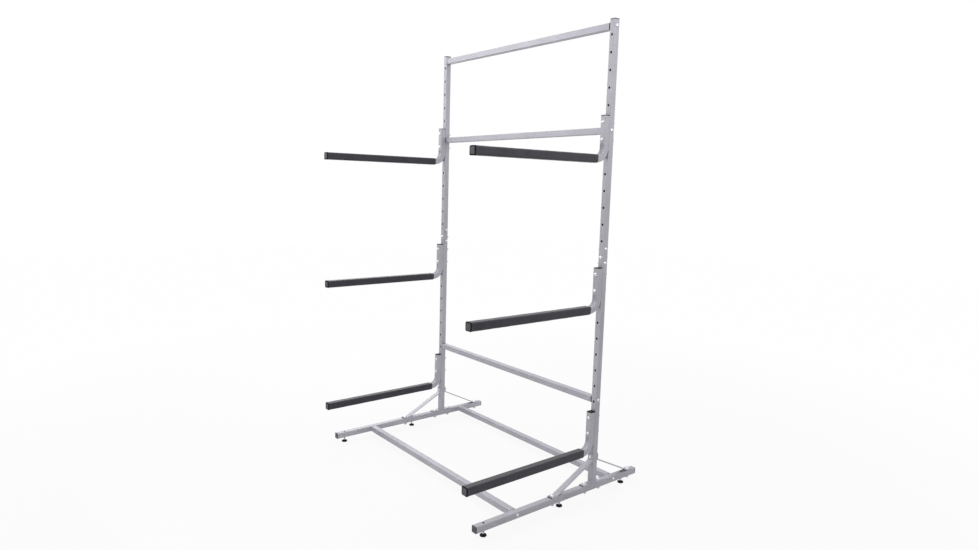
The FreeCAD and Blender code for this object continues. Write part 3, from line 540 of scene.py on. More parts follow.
def arm(level, side):
    node = f"arm_{level}_{side}"
    low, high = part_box(node)
    x = (low.x + high.x) / 2
    upright_y = high.y - TUBE / 2
    level_z = low.z + TUBE / 2
    bend = Vector((x, upright_y - ARM_BEND, level_z + ARM_BEND))
    stops = [(x, upright_y, high.z)]
    stops += [(x, upright_y, bend.z + rise) for rise in reversed(FADE)]
    stops.append((x, upright_y, level_z))
    stops += [(x, bend.y - run, level_z) for run in FADE]
    stops.append((x, low.y, level_z))
    mesh = bent_bar(stops, TUBE, TUBE, TUBE_CORNER, ARM_BEND, BEND_STEPS, bend, DIE_RING, DIE)
    finish_piece(f"arm_tube_{level}_{side}", mesh, "powder_coat", [node])


for level in LEVELS:
    for side in SIDES:
        arm(level, side)

# %% [markdown]
# ## Foam sleeves
# Each arm slides into a square foam tube. Foam has no sharp edge anywhere: its corners are
# full, its cut ends are rolled, its flats are never quite true, and the tip swells a little
# where the plug is pressed in. A loft of rounded rectangles says all that. It runs along the
# outside, over the front lip, back through the bore and over the rear lip, so the sleeve is
# one closed skin. The faces near the tip's cut end then get a near-black copy of the foam.

# %% Foam
FOAM_CORNER = 7 * MM
FOAM_LIP = 3.2 * MM
REAR_ROLL = 8 * MM
FOAM_BORE = 15.3 * MM
FOAM_STATION = 12 * MM
FOAM_WAVER = 0.16 * MM
LONG_WAVE = 0.118
SHORT_WAVE = 0.047
SHORT_SHARE = 0.6
SHORT_LEAD = 2.1
LEVEL_PHASE = 1.3
SIDE_PHASE = 0.7
TIP_SWELL = 0.7 * MM
SWELL_REACH = 14 * MM
CUT_REACH = 4 * MM


def waver(y, angle, phase):
    """A slow unevenness of the foam's skin along and round the sleeve."""
    slow = math.sin(math.tau * y / LONG_WAVE + phase)
    quick = SHORT_SHARE * math.sin(math.tau * y / SHORT_WAVE + SHORT_LEAD * phase)
    return FOAM_WAVER * (slow + quick) * math.cos(2 * angle + phase)


def foam_ring(x, y, z, half, corner, phase=None):
    ring = []
    for across, up in round_rectangle(half, half, corner, steps=8, cuts=5):
        grown = 1.0
        if phase is not None:
            grown += waver(y, math.atan2(up, across), phase) / half
        ring.append((x + across * grown, y, z + up * grown))
    return ring


def swell(depth):
    """How far the sleeve stands out at this depth behind its tip."""
    return TIP_SWELL * max(0.0, 1 - depth / SWELL_REACH) ** 2


def foam_sleeve(level, side, phase):
    node = f"foam_{level}_{side}"
    low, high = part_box(node)
    x = (low.x + high.x) / 2
    z = (low.z + high.z) / 2
    half = (high.x - low.x) / 2
    insets = [FOAM_LIP * (1 - math.sin(roll)) for roll in QUARTER]
    setbacks = [1 - math.cos(roll) for roll in QUARTER]
    rear = [(high.y - REAR_ROLL * back, inset) for back, inset in zip(setbacks, insets)]
    front = [(low.y + FOAM_LIP * back, inset) for back, inset in zip(setbacks, insets)][::-1]
    first = rear[-1][0]
    count = round((first - front[0][0]) / FOAM_STATION)
    middle = [(first + (front[0][0] - first) * k / count, 0.0) for k in range(1, count)]
    rings = [foam_ring(x, y, z, half - inset + swell(y - low.y), FOAM_CORNER - inset, phase)
             for y, inset in rear + middle + front]
    rings += [foam_ring(x, y, z, FOAM_BORE, TUBE_CORNER) for y in (low.y, high.y)]
    mesh = loft(rings, closed=True)
    mesh.materials.append(FINISHES["foam"])
    mesh.materials.append(CUT_FOAM)
    # Faces within CUT_REACH of the tip take the near-black copy.
    for face in mesh.polygons:
        face.material_index = int(face.center.y < low.y + CUT_REACH)
    piece = finish_piece(f"foam_sleeve_{level}_{side}", mesh, "foam", [node], sharp=60.0)


for number, level in enumerate(LEVELS):
    for side, way in SIDES.items():
        foam_sleeve(level, side, LEVEL_PHASE * number + SIDE_PHASE * way)

# %% [markdown]
# ## Bolts and nuts
# Domed bolts hold the whole rack together, with lock nuts on their far ends. One of each is
# made with care: a turned head with an eased lip, a thread with a real pitch, a nut whose
# corners are cut back by a chamfer. Then a Geometry Nodes tree repeats them on points that
# each carry the way their bolt looks. A nut stops wherever it comes tight, so the tree also
# turns every copy by a random angle with a fixed seed.

# %% Repeating tree
SEED = 7


def spot_mesh(spots):
    """A point at every (place, way) spot that carries its way."""
    points = new_mesh("Spots", [place for place, way in spots])
    ways = points.attributes.new("way", "FLOAT_VECTOR", "POINT")
    ways.data.foreach_set("vector", [part for place, way in spots for part in way])
    return points


def along_way(add):
    """The rotation that turns a pattern's Z axis along its point's way."""
    way = add("GeometryNodeInputNamedAttribute", {"Name": "way"}, data_type="FLOAT_VECTOR")
    return add("FunctionNodeAlignRotationToVector", {"Vector": way.outputs["Attribute"]}, axis="Z")


def on_points(add, given, pattern, rotation):
    """Copies of an object on the points that a tree is given."""
    shape = add("GeometryNodeObjectInfo", {"Object": pattern, "As Instance": True})
    return add("GeometryNodeInstanceOnPoints", {
        "Points": given["Geometry"], "Instance": shape.outputs["Geometry"], "Rotation": rotation})


def repeat_tree():
    """Put a pattern on every point, with its Z axis along the point's way."""
    add, given = new_tree("Repeat on points", {"Pattern": "Object", "Turn": "Float", "Seed": "Int"})
    angle = add("FunctionNodeRandomValue", {3: given["Turn"], "Seed": given["Seed"]})
    spin = add("FunctionNodeAxisAngleToRotation", {"Axis": (0.0, 0.0, 1.0), "Angle": angle.outputs[1]})
    turned = add("FunctionNodeRotateRotation", {
        "Rotation": along_way(add), "Rotate By": spin}, rotation_space="LOCAL")
    return end_tree(add, given, on_points(add, given, given["Pattern"], turned))


REPEAT = repeat_tree()


def repeat(name, pattern, spots, slot, node, turn=0.0, finish=None):
    """A pattern at every (place, way) spot, as one piece that stands for a node."""
    holder = link("Pattern", pattern)
    mesh = grow(REPEAT, spot_mesh(spots), {
        "Pattern": holder, "Turn": turn, "Seed": SEED, "Material": finish or FINISHES[slot]})
    bpy.data.objects.remove(holder)
    return finish_piece(name, mesh, slot, [node], finish=finish)


# %% Threaded rod tree
BOLT = 5 * MM
BOLT_PITCH = 1.5 * MM
DEPTH_OF_PITCH = 0.5
CREST_END = 0.06
ROOT_START = 0.44
THREAD_SIDES = 24
RINGS_PER_TURN = 6
TIP = 1 * MM


def threaded_rod_tree():
    """A cylinder whose skin follows a screw: its radius swings once for each pitch and turn."""
    add, given = new_tree("Threaded rod", {
        "Radius": "Float", "Length": "Float", "Rings": "Int", "Pitch": "Float", "Depth": "Float",
        "Tip": "Float"})
    rod = add("GeometryNodeMeshCylinder", {
        "Vertices": THREAD_SIDES, "Side Segments": given["Rings"], "Radius": given["Radius"],
        "Depth": given["Length"]})
    spot = add("GeometryNodeInputPosition")
    part = add("ShaderNodeSeparateXYZ", {"Vector": spot}).outputs
    angle = add("ShaderNodeMath", [part["Y"], part["X"]], operation="ARCTAN2")
    share = add("ShaderNodeMath", [angle, math.tau], operation="DIVIDE")
    climb = add("ShaderNodeMath", [part["Z"], given["Pitch"]], operation="DIVIDE")
    turns = add("ShaderNodeMath", [climb, share], operation="SUBTRACT")
    flank = add("ShaderNodeMath", [turns, 0.5], operation="PINGPONG")
    groove = add("ShaderNodeMapRange", {
        "Value": flank, "From Min": CREST_END, "From Max": ROOT_START, "To Max": given["Depth"]})
    half = add("ShaderNodeMath", [given["Length"], 0.5], operation="MULTIPLY")
    shoulder = add("ShaderNodeMath", [half, given["Tip"]], operation="SUBTRACT")
    chamfer = add("ShaderNodeMapRange", {
        "Value": part["Z"], "From Min": shoulder, "From Max": half, "To Max": given["Tip"]})
    deepest = add("ShaderNodeMath", [groove, chamfer], operation="MAXIMUM")
    cut = add("ShaderNodeMath", [deepest, given["Radius"]], operation="DIVIDE")
    inward = add("ShaderNodeMath", [cut, -1.0], operation="MULTIPLY")
    spoke = add("ShaderNodeCombineXYZ", {"X": part["X"], "Y": part["Y"]})
    return end_tree(add, given, push(add, rod, spoke, inward))


THREADED_ROD = threaded_rod_tree()


def thread(bottom, top, radius=BOLT, pitch=BOLT_PITCH):
    """A threaded rod along the Z axis between two heights, with its tip at the top."""
    length = top - bottom
    start = new_mesh("Start", [(0, 0, 0)])
    mesh = grow(THREADED_ROD, start, {
        "Radius": radius, "Length": length, "Rings": round(RINGS_PER_TURN * length / pitch), "Pitch": pitch,
        "Depth": DEPTH_OF_PITCH * pitch, "Tip": TIP, "Material": FINISHES["zinc"]})
    return moved(mesh, z=(bottom + top) / 2)


# %% Patterns of a bolt and a nut
HEAD = 9 * MM
HEAD_HEIGHT = 4.8 * MM
HEAD_LIP = 0.96 * MM
DOME_SHARE = 0.96
DOME_STEPS = 12
# The lip's section, in shares of the head's radius and of the lip's height.
LIP_SECTION = ((0.985, -0.96), (1.0, -0.72), (1.0, -0.2), (0.98, 0.0))
THREADED = 18 * MM
NUT = 8 * MM
NUT_HEIGHT = 8 * MM
NUT_FACE = 0.98 * NUT
NUT_CHAMFER_STEP = 0.15 * MM
NUT_SIDES = 72
NUT_COLLAR = 7 * MM
COLLAR_HEIGHT = 2 * MM
NUT_STACK = NUT_HEIGHT + COLLAR_HEIGHT
NUT_BORE = 1.02 * BOLT
NUT_MOUTH = 1.12 * BOLT
HEX_CHAMFER = math.radians(30)
STUB = 4 * MM


def domed_bolt(length):
    """A bolt whose head sits on the origin and whose shank runs up the Z axis."""
    rise = HEAD_HEIGHT - HEAD_LIP
    sphere = (HEAD ** 2 + rise ** 2) / (2 * rise)
    widest = math.asin(HEAD / sphere)
    dome = [widest * DOME_SHARE * k / DOME_STEPS for k in range(DOME_STEPS + 1)]
    profile = [(sphere * math.sin(a), sphere * (1 - math.cos(a)) - HEAD_HEIGHT) for a in dome]
    profile += [(out * HEAD, up * HEAD_LIP) for out, up in LIP_SECTION]
    profile += [(BOLT, 0.0), (BOLT, length - THREADED)]
    return join(lathe(profile), thread(length - THREADED, length))


def hex_rings(half, face, heights, sides):
    """Rings of a hex prism. A cone cuts its corners back, down to a circle on either face."""
    rings = []
    for height in heights:
        cone = face + min(height - heights[0], heights[-1] - height) / math.tan(HEX_CHAMFER)
        ring = []
        for angle in [math.tau * k / sides for k in range(sides)]:
            flat = half / math.cos((angle + math.pi / 6) % (math.pi / 3) - math.pi / 6)
            reach = min(cone, flat)
            ring.append((reach * math.cos(angle), reach * math.sin(angle), height))
        rings.append(ring)
    return rings


def lock_nut():
    """A hex nut from the origin up the Z axis, chamfered at both faces, with a round collar."""
    chamfers = [NUT_CHAMFER_STEP * k for k in range(5)]
    heights = chamfers + [NUT_HEIGHT - chamfer for chamfer in reversed(chamfers)]
    collar = [(NUT_COLLAR, NUT_HEIGHT), (NUT_COLLAR, NUT_HEIGHT + 1.2 * MM),
              (0.96 * NUT_COLLAR, NUT_STACK - 0.2 * MM), (0.88 * NUT_COLLAR, NUT_STACK)]
    bore = [(NUT_MOUTH, NUT_STACK), (NUT_BORE, NUT_STACK - 0.5 * MM),
            (NUT_BORE, 0.4 * MM), (NUT_MOUTH, 0.0)]
    rings = hex_rings(NUT, NUT_FACE, heights, NUT_SIDES)
    rings += [circle(radius, height, NUT_SIDES) for radius, height in collar + bore]
    return loft(rings, closed=True)


# %% Where the bolts sit
AHEAD = (0, -1, 0)
BEHIND = (0, 1, 0)
UP = (0, 0, 1)
DOWN = (0, 0, -1)
POST_X = 638 * MM
POST_Y = 231 * MM
POST_FRONT = POST_Y - TUBE / 2
POST_TOP = 2206 * MM
LEG_TOP = 58 * MM
LEG_FRONT = -483 * MM
LEG_REAR = 538 * MM
STRAP = 5 * MM
BASE_PLATE = 4 * MM
HOLE_LOW = 312.2 * MM
HOLE_PITCH = 76.2 * MM
ARM_HOLES = {"top": 18, "middle": 9, "bottom": 0}
SPLICE_HOLE = 11
BAR_HEIGHTS = (2178.4 * MM, 1725.3 * MM, 472.0 * MM)
BASE_BARS = (-258 * MM, 372 * MM)
SPLICE_RISES = (39.5 * MM, -26 * MM)
BRACE_BOLT = 188 * MM
BRACE_FEET = (-32 * MM, 494 * MM)
PLATE_BOLTS = (183 * MM, 279 * MM)


def hole_height(index):
    return HOLE_LOW + HOLE_PITCH * index


arm_spots = [((way * POST_X, POST_FRONT - TUBE, hole_height(ARM_HOLES[level] + step)), BEHIND)
             for way in SIDES.values() for level in LEVELS for step in (0, 1)]
splice_spots = []
bar_spots = []
for way in SIDES.values():
    outer = way * (POST_X + TUBE / 2)
    inward = (-way, 0, 0)
    splice = hole_height(SPLICE_HOLE)
    splice_spots += [((outer, POST_Y, splice + rise), inward) for rise in SPLICE_RISES]
    splice_spots.append(((way * POST_X, POST_FRONT, splice), BEHIND))
    bar_spots += [((outer, POST_Y, height), inward) for height in BAR_HEIGHTS]
    bar_spots += [((outer, y, LEG_TOP - TUBE / 2), inward) for y in BASE_BARS]
brace_spots = [((way * POST_X, POST_FRONT - STRAP, BRACE_BOLT), BEHIND) for way in SIDES.values()]
tab_spots = [((way * POST_X, y, LEG_TOP + STRAP), DOWN) for way in SIDES.values() for y in BRACE_FEET]
plate_spots = [((way * POST_X, y, LEG_TOP + BASE_PLATE), DOWN)
               for way in SIDES.values() for y in PLATE_BOLTS]

# %% Bolts and nuts in place
BAR_BOLT = 62 * MM
GRIPS = {
    "arm": (arm_spots, 2 * TUBE),
    "splice": (splice_spots, TUBE),
    "brace_post": (brace_spots, TUBE + 2 * STRAP),
    "brace_foot": (tab_spots, TUBE + STRAP),
    "base_plate": (plate_spots, TUBE + BASE_PLATE),
}
for group, (spots, grip) in GRIPS.items():
    bolt = domed_bolt(grip + NUT_STACK + STUB)
    repeat(f"{group}_bolt_set", bolt, spots, "zinc", f"{group}_bolts", turn=math.tau)
    far_ends = [(Vector(place) + grip * Vector(way), way) for place, way in spots]
    repeat(f"{group}_nut_set", lock_nut(), far_ends, "zinc", f"{group}_nuts", turn=math.tau)
repeat("crossbar_bolt_set", domed_bolt(BAR_BOLT), bar_spots, "zinc", "crossbar_bolts", turn=math.tau)

# %% [markdown]
# ## Levelling feet
# A foot is a moulded pad pressed on a threaded stem. The pad is a turned form with a full
# rim and a sloping top, so a lathe profile gives it. The stem's thread comes from the same
# tree as the bolts', with a small hex collar for a spanner. Each foot rides on its own body,
# because it is screwed up or down to level the rack.

# %% Feet
PAD = 15 * MM
RIM = 6.5 * MM
HUB = 11 * MM
HUB_RADIUS = 7 * MM
STEM = 4 * MM
STEM_PITCH = 1.25 * MM
SOCKET = 4.1 * MM
STEM_FOOT = 3.25 * MM
STEM_TOP = 46.5 * MM
COLLAR_TOP = 14 * MM
COLLAR_HALF = 5.5 * MM
COLLAR_EASE = 0.35 * MM
COLLAR_SIDES = 48
PAD_SIDES = 72
RIM_ROUND = 1.9 * MM
UPPER_ROLL = [math.radians(12 * k) for k in range(6)]
SLOPE_STEPS = 8
SLOPE_POWER = 1.25


def foot_pad():
    lower = [(PAD - RIM_ROUND * (1 - math.sin(a)), RIM_ROUND * (1 - math.cos(a))) for a in QUARTER]
    upper = [(PAD - RIM_ROUND * (1 - math.cos(a)), RIM - RIM_ROUND * (1 - math.sin(a))) for a in UPPER_ROLL]
    shares = [k / SLOPE_STEPS for k in range(SLOPE_STEPS)]
    slope = [(PAD - RIM_ROUND + (HUB_RADIUS - PAD + RIM_ROUND) * share,
              RIM + (HUB - RIM) * share ** SLOPE_POWER) for share in shares]
    top = [(HUB_RADIUS + 0.15 * MM, HUB - 0.25 * MM), (HUB_RADIUS - 0.3 * MM, HUB), (SOCKET, HUB)]
    bottom = [(SOCKET, STEM_FOOT), (0, STEM_FOOT)]
    return lathe([(0, 0), *lower, *upper, *slope, *top, *bottom], PAD_SIDES)


def foot_stem():
    heights = (HUB, HUB + COLLAR_EASE, COLLAR_TOP - COLLAR_EASE, COLLAR_TOP)
    collar = loft(hex_rings(COLLAR_HALF, COLLAR_HALF, heights, COLLAR_SIDES))
    shank = lathe([(0, STEM_FOOT), (STEM, STEM_FOOT), (STEM, HUB), (0, HUB)])
    return join(collar, shank, thread(COLLAR_TOP, STEM_TOP, STEM, STEM_PITCH))


FOOT_PARTS = (
    ("pad", foot_pad(), "black_plastic", PAD_RUBBER),
    ("stem", foot_stem(), "zinc", FINISHES["zinc"]),
)
for spot in FOOT_SPOTS:
    for side in SIDES:
        low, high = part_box(f"foot_pad_{spot}_{side}")
        middle = (low + high) / 2
        for kind, pattern, slot, finish in FOOT_PARTS:
            node = f"foot_{kind}_{spot}_{side}"
            finish_piece(f"{node}_made", moved(pattern, middle.x, middle.y), slot, [node],
                         body=f"foot_{spot}_{side}", finish=finish)

# %% [markdown]
# ## Tube plugs
# Every tube end wears a plug: a head with rounded edges that lies on the tube's end, and a
# ribbed shank that grips the bore. The head is slightly pillowed, as a cooling moulding
# shrinks from its rim. One loft makes the plug, and the repeating tree sets it on the legs,
# the posts and both ends of the arms. The crossbars' plugs are the same with a bore for the
# bolt, so their loft goes on through the bore and closes on itself.

# %% Plugs
HOLE = 5.5 * MM
HEAD_HALF = TUBE / 2
HEAD_THICK = 4 * MM
HEAD_ROUND = 1.2 * MM
PILLOW = 0.35 * MM
SHANK_HALF = 13.3 * MM
SHANK_DEPTH = 16 * MM
SHANK_CORNER = 1.2 * MM
RIB_PITCH = 3 * MM
RIB_DEPTH = 0.7 * MM
RIB_CORNER = 1.3 * MM
RIB_CREST = 0.8 * MM
RIB_END = 1.6 * MM
HEAD_EASE = 0.3 * MM
PILLOW_CORNER = 1.8 * MM
PILLOW_SHARES = (0.9, 0.75, 0.55, 0.35, 0.15)
BORED_SHARES = PILLOW_SHARES[:3]
BORE_RISE = 0.8 * PILLOW


def plug_ring(half, corner, height):
    return [(across, up, height) for across, up in round_rectangle(half, half, corner)]


def tube_plug(bored=False):
    """A plug whose head lies on the origin and looks up the Z axis. A bolt passes a bored one."""
    core = SHANK_HALF - RIB_DEPTH
    rings = [plug_ring(core, SHANK_CORNER, -SHANK_DEPTH)]
    for k in range(int(SHANK_DEPTH / RIB_PITCH)):
        foot = -SHANK_DEPTH + k * RIB_PITCH
        rings.append(plug_ring(SHANK_HALF, RIB_CORNER, foot + RIB_CREST))
        rings.append(plug_ring(core, SHANK_CORNER, foot + RIB_END))
    rings.append(plug_ring(core, SHANK_CORNER, 0.0))
    rings.append(plug_ring(HEAD_HALF - HEAD_EASE, TUBE_CORNER, 0.0))
    rings.append(plug_ring(HEAD_HALF, TUBE_CORNER, HEAD_EASE))
    edge = HEAD_THICK - PILLOW
    for angle in QUARTER:
        inset = HEAD_ROUND * (1 - math.cos(angle))
        height = edge - HEAD_ROUND * (1 - math.sin(angle))
        rings.append(plug_ring(HEAD_HALF - inset, TUBE_CORNER - inset, height))
    flat = HEAD_HALF - HEAD_ROUND
    for share in BORED_SHARES if bored else PILLOW_SHARES:
        rings.append(plug_ring(flat * share, PILLOW_CORNER * share, edge + PILLOW * (1 - share ** 2)))
    if bored:
        rings += [plug_ring(HOLE, HOLE, edge + BORE_RISE), plug_ring(HOLE, HOLE, -SHANK_DEPTH)]
    return loft(rings, closed=bored)


PLUG = tube_plug()
leg_ends = [((way * POST_X, y, LEG_TOP - TUBE / 2), look)
            for way in SIDES.values() for y, look in ((LEG_FRONT, AHEAD), (LEG_REAR, BEHIND))]
post_tops = [((way * POST_X, POST_Y, POST_TOP), UP) for way in SIDES.values()]
arm_tops = []
arm_tips = []
for level in LEVELS:
    for side in SIDES:
        low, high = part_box(f"arm_{level}_{side}")
        x = (low.x + high.x) / 2
        arm_tops.append(((x, high.y - TUBE / 2, high.z), UP))
        arm_tips.append(((x, low.y, low.z + TUBE / 2), AHEAD))
# The leg ends and the arm tips take the grey copy, as painted light where they face the lamps.
for node, spots, finish in (("leg_end_plugs", leg_ends, PAINTED_LIT_PLASTIC), ("post_top_plugs", post_tops, None),
                            ("arm_top_plugs", arm_tops, None), ("arm_tip_plugs", arm_tips, PAINTED_LIT_PLASTIC)):
    repeat(f"{node}_moulded", PLUG, spots, "black_plastic", node, finish=finish)
BAR_END = POST_X - TUBE / 2 - HEAD_THICK
bar_lines = [(POST_Y, height) for height in BAR_HEIGHTS] + [(y, LEG_TOP - TUBE / 2) for y in BASE_BARS]
bar_ends = [((way * BAR_END, y, z), (way, 0, 0)) for y, z in bar_lines for way in SIDES.values()]
bored_plug = tube_plug(bored=True)
bar_plugs = repeat("crossbar_plugs_moulded", bored_plug, bar_ends, "black_plastic", "crossbar_plugs")
# Plug faces above the legs, on the upper crossbars, take the grey copy as painted light; the base bars'
# plugs stay black.
bar_plugs.data.materials.append(PAINTED_LIT_PLASTIC)
for face in bar_plugs.data.polygons:
    face.material_index = int(face.center.z > LEG_TOP)

# %% [markdown]
# ## Strap braces
# A brace is a flat bar with two bent tabs, so the tree that bends the arms makes it too,
# with a flat section, small bends and no die. The path runs through the middle of the bar:
# each straight run is set off from the leg, the slope and the post by half the thickness.
# The foot's sheared end face gets the near-black finish of the bores.

# %% Straps
STRAP_WIDTH = 30 * MM
STRAP_EDGE = 0.7 * MM
STRAP_BEND = 6.5 * MM
STRAP_BEND_STEPS = 10
BRACE_STOPS = [(-266 * MM, 0.0), (-233 * MM, 0.0), (0.0, 115 * MM), (0.0, 148 * MM)]


def middle_line(stops, offset):
    """The stops of a path, set off to the left of its runs."""
    points = [Vector(stop) for stop in stops]
    lefts = []
    for start, end in zip(points, points[1:]):
        run = (end - start).normalized()
        lefts.append(Vector((-run.y, run.x)))
    pairs = zip(points, [lefts[0], *lefts], [*lefts, lefts[-1]])
    return [point + offset / (1 + before.dot(after)) * (before + after) for point, before, after in pairs]


def strap(where, side):
    ahead = 1 if where == "front" else -1
    post_face = POST_Y - ahead * TUBE / 2
    x = SIDES[side] * POST_X
    line = middle_line(BRACE_STOPS, STRAP / 2)
    stops = [(x, post_face + ahead * along, LEG_TOP + up) for along, up in line]
    mesh = bent_bar(stops, STRAP_WIDTH, STRAP, STRAP_EDGE, STRAP_BEND, STRAP_BEND_STEPS)
    dark_ends(mesh, [stops[0][1]])
    finish_piece(f"strap_{where}_{side}", mesh, "powder_coat", [f"brace_{where}_{side}"])


for where in ("front", "rear"):
    for side in SIDES:
        strap(where, side)

# %% [markdown]
# ## Base plates and their welds
# Each post stands on a plate with eased edges and is welded to it front and rear. A weld
# bead freezes in overlapping crescents as the torch moves on. A tree sweeps a round bead
# along the seam and lets its radius swing once for each crescent, lagging at the sides so
# that the ripples curve.

# %% Weld bead tree
RIPPLE = 2.2 * MM
RIPPLE_HEIGHT = 0.35 * MM
BEAD = 2.4 * MM
BEAD_HALF = 12 * MM
BEAD_RINGS = 90
BEAD_SIDES = 20
BEAD_TAPER = 0.7


def weld_bead_tree():
    """A round bead along X whose radius ripples, and which tapers at its ends."""
    add, given = new_tree("Weld bead", {
        "Radius": "Float", "Half length": "Float", "Ripple": "Float", "Ripple height": "Float",
        "Middle": "Vector"})
    seam = add("GeometryNodeMeshToCurve", {"Mesh": given["Geometry"]})
    fine = add("GeometryNodeResampleCurve", {"Curve": seam, "Count": BEAD_RINGS})
    section = add("GeometryNodeCurvePrimitiveCircle", {
        "Resolution": BEAD_SIDES, "Radius": given["Radius"]})
    bead = add("GeometryNodeCurveToMesh", {"Curve": fine, "Profile Curve": section, "Fill Caps": True})
    away = away_from(add, given["Middle"])
    part = add("ShaderNodeSeparateXYZ", {"Vector": away}).outputs
    slant = add("ShaderNodeMath", [part["Z"], part["Z"]], operation="MULTIPLY")
    lag = add("ShaderNodeMath", [slant, given["Radius"]], operation="DIVIDE")
    lagged = add("ShaderNodeMath", [part["X"], lag], operation="ADD")
    count = add("ShaderNodeMath", [lagged, given["Ripple"]], operation="DIVIDE")
    crescent = add("ShaderNodeMath", [count, 0.5], operation="PINGPONG")
    swing = add("ShaderNodeMapRange", {
        "Value": crescent, "From Max": 0.5, "To Max": given["Ripple height"]})
    distance = add("ShaderNodeMath", [part["X"]], operation="ABSOLUTE")
    end_start = add("ShaderNodeMath", [given["Half length"], given["Radius"]], operation="SUBTRACT")
    taper = add("ShaderNodeMapRange", {
        "Value": distance, "From Min": end_start, "From Max": given["Half length"],
        "To Max": given["Radius"]}, interpolation_type="SMOOTHSTEP")
    lower = add("ShaderNodeMath", [taper, BEAD_TAPER], operation="MULTIPLY")
    total = add("ShaderNodeMath", [lower, swing], operation="ADD")
    inward = add("ShaderNodeMath", [total, -1.0], operation="MULTIPLY")
    spoke = add("ShaderNodeCombineXYZ", {"Y": part["Y"], "Z": part["Z"]})
    radial = add("ShaderNodeVectorMath", [spoke], operation="NORMALIZE")
    return end_tree(add, given, push(add, bead, radial, inward))


WELD_BEAD = weld_bead_tree()

# %% Base plates
PLATE_HALF = 73 * MM
PLATE_EDGE = 0.6 * MM


def weld_bead(x, y):
    middle = Vector((x, y, LEG_TOP + BASE_PLATE))
    ends = [middle - Vector((BEAD_HALF, 0, 0)), middle + Vector((BEAD_HALF, 0, 0))]
    return grow(WELD_BEAD, path_mesh(ends), {
        "Radius": BEAD, "Half length": BEAD_HALF, "Ripple": RIPPLE, "Ripple height": RIPPLE_HEIGHT,
        "Middle": middle, "Material": FINISHES["powder_coat"]})


def base_plate(side):
    x = SIDES[side] * POST_X
    middle = EASE_MIDDLE * PLATE_EDGE
    rings = []
    for height, inset in ((0.0, PLATE_EDGE), (PLATE_EDGE, 0.0), (BASE_PLATE - PLATE_EDGE, 0.0),
                          (BASE_PLATE - middle, middle), (BASE_PLATE, PLATE_EDGE)):
        outline = round_rectangle(TUBE / 2 - inset, PLATE_HALF - inset, TUBE_CORNER - inset)
        rings.append([(x + across, POST_Y + along, LEG_TOP + height) for across, along in outline])
    beads = [weld_bead(x, POST_Y + way * TUBE / 2) for way in (-1, 1)]
    # The plate's front and rear edge faces get that near-black finish too.
    plate = dark_ends(join(loft(rings), *beads), [POST_Y - PLATE_HALF, POST_Y + PLATE_HALF])
    finish_piece(f"base_plate_{side}_eased", plate, "powder_coat", [f"base_plate_{side}"])


for side in SIDES:
    base_plate(side)

# %% [markdown]
# ## Punched posts and legs
# The posts carry two rows of holes, and the legs a few. A punch drags the skin a little way
# in before it shears, so each hole has a rolled rim that catches the light. Drawing the holes
# in the material would look flat, and cutting them all by hand would be long. Here each hole
# is a point on the tube's skin, a tree sets one flared punch on every point and cuts them all
# from the tube at once, and the faces of the bore then keep their bare steel, painted near
# black as shade for the unlit inside of the tube.

# %% Punched tube tree
TUBE_WALL = 1.5 * MM
BORE_HALF = TUBE / 2 - TUBE_WALL
BORE_CORNER = TUBE_CORNER - TUBE_WALL
ROLLED_RIM = 0.5 * MM
RIM_ROLL = [math.radians(14 * k) for k in range(6)]
PUNCH_DEPTH = 2.5 * MM
PUNCH_RISE = 1 * MM
PUNCH_SIDES = 40
MOUTH_STEP = 1.2 * MM
MOUTH_FOOT = 0.4 * MM
END_EASE = 0.5 * MM


def punched_tube_tree():
    """Cut a punch out of a blank at every point, along the point's way."""
    add, given = new_tree("Punched tube", {
        "Blank": "Object", "Punch": "Object", "Middle": "Vector", "Across": "Vector", "Reach": "Float",
        "Bare and shaded": "Material"})
    punches = on_points(add, given, given["Punch"], along_way(add))
    cutters = add("GeometryNodeRealizeInstances", {"Geometry": punches})
    blank = add("GeometryNodeObjectInfo", {"Object": given["Blank"]})
    holed = add("GeometryNodeMeshBoolean", {
        "Mesh 1": blank.outputs["Geometry"], "Mesh 2": cutters}, operation="DIFFERENCE", solver="EXACT")
    # Faces inside the bore get the bare-steel finish, painted near black as shade.
    away = away_from(add, given["Middle"])
    across = add("ShaderNodeVectorMath", [away, given["Across"]], operation="MULTIPLY")
    offset = add("ShaderNodeVectorMath", [across], operation="ABSOLUTE")
    part = add("ShaderNodeSeparateXYZ", {"Vector": offset}).outputs
    wider = add("ShaderNodeMath", [part["X"], part["Y"]], operation="MAXIMUM")
    widest = add("ShaderNodeMath", [wider, part["Z"]], operation="MAXIMUM")
    inside = add("ShaderNodeMath", [widest, given["Reach"]], operation="LESS_THAN")
    return end_tree(add, given, holed, bare=inside)


PUNCHED_TUBE = punched_tube_tree()


def hole_punch():
    """A punch that looks up the Z axis, with its flare where it leaves the tube's skin."""
    flare = [(HOLE + ROLLED_RIM * (1 - math.cos(roll)), ROLLED_RIM * (math.sin(roll) - 1))
             for roll in RIM_ROLL]
    mouth = flare[-1][0] + MOUTH_STEP
    profile = [(0, -PUNCH_DEPTH), (HOLE, -PUNCH_DEPTH), *flare,
               (mouth, MOUTH_FOOT), (mouth, PUNCH_RISE), (0, PUNCH_RISE)]
    return outward(lathe(profile, PUNCH_SIDES))


# %% Posts and legs
PUNCH = link("Punch", hole_punch())
ROW_HOLES = range(25)
SEAM_DROP = 46 * MM
SEAM = hole_height(SPLICE_HOLE) - SEAM_DROP
FEET = (-436 * MM, 13 * MM, 446 * MM)
BORE_REACH = BORE_HALF + 0.1 * MM


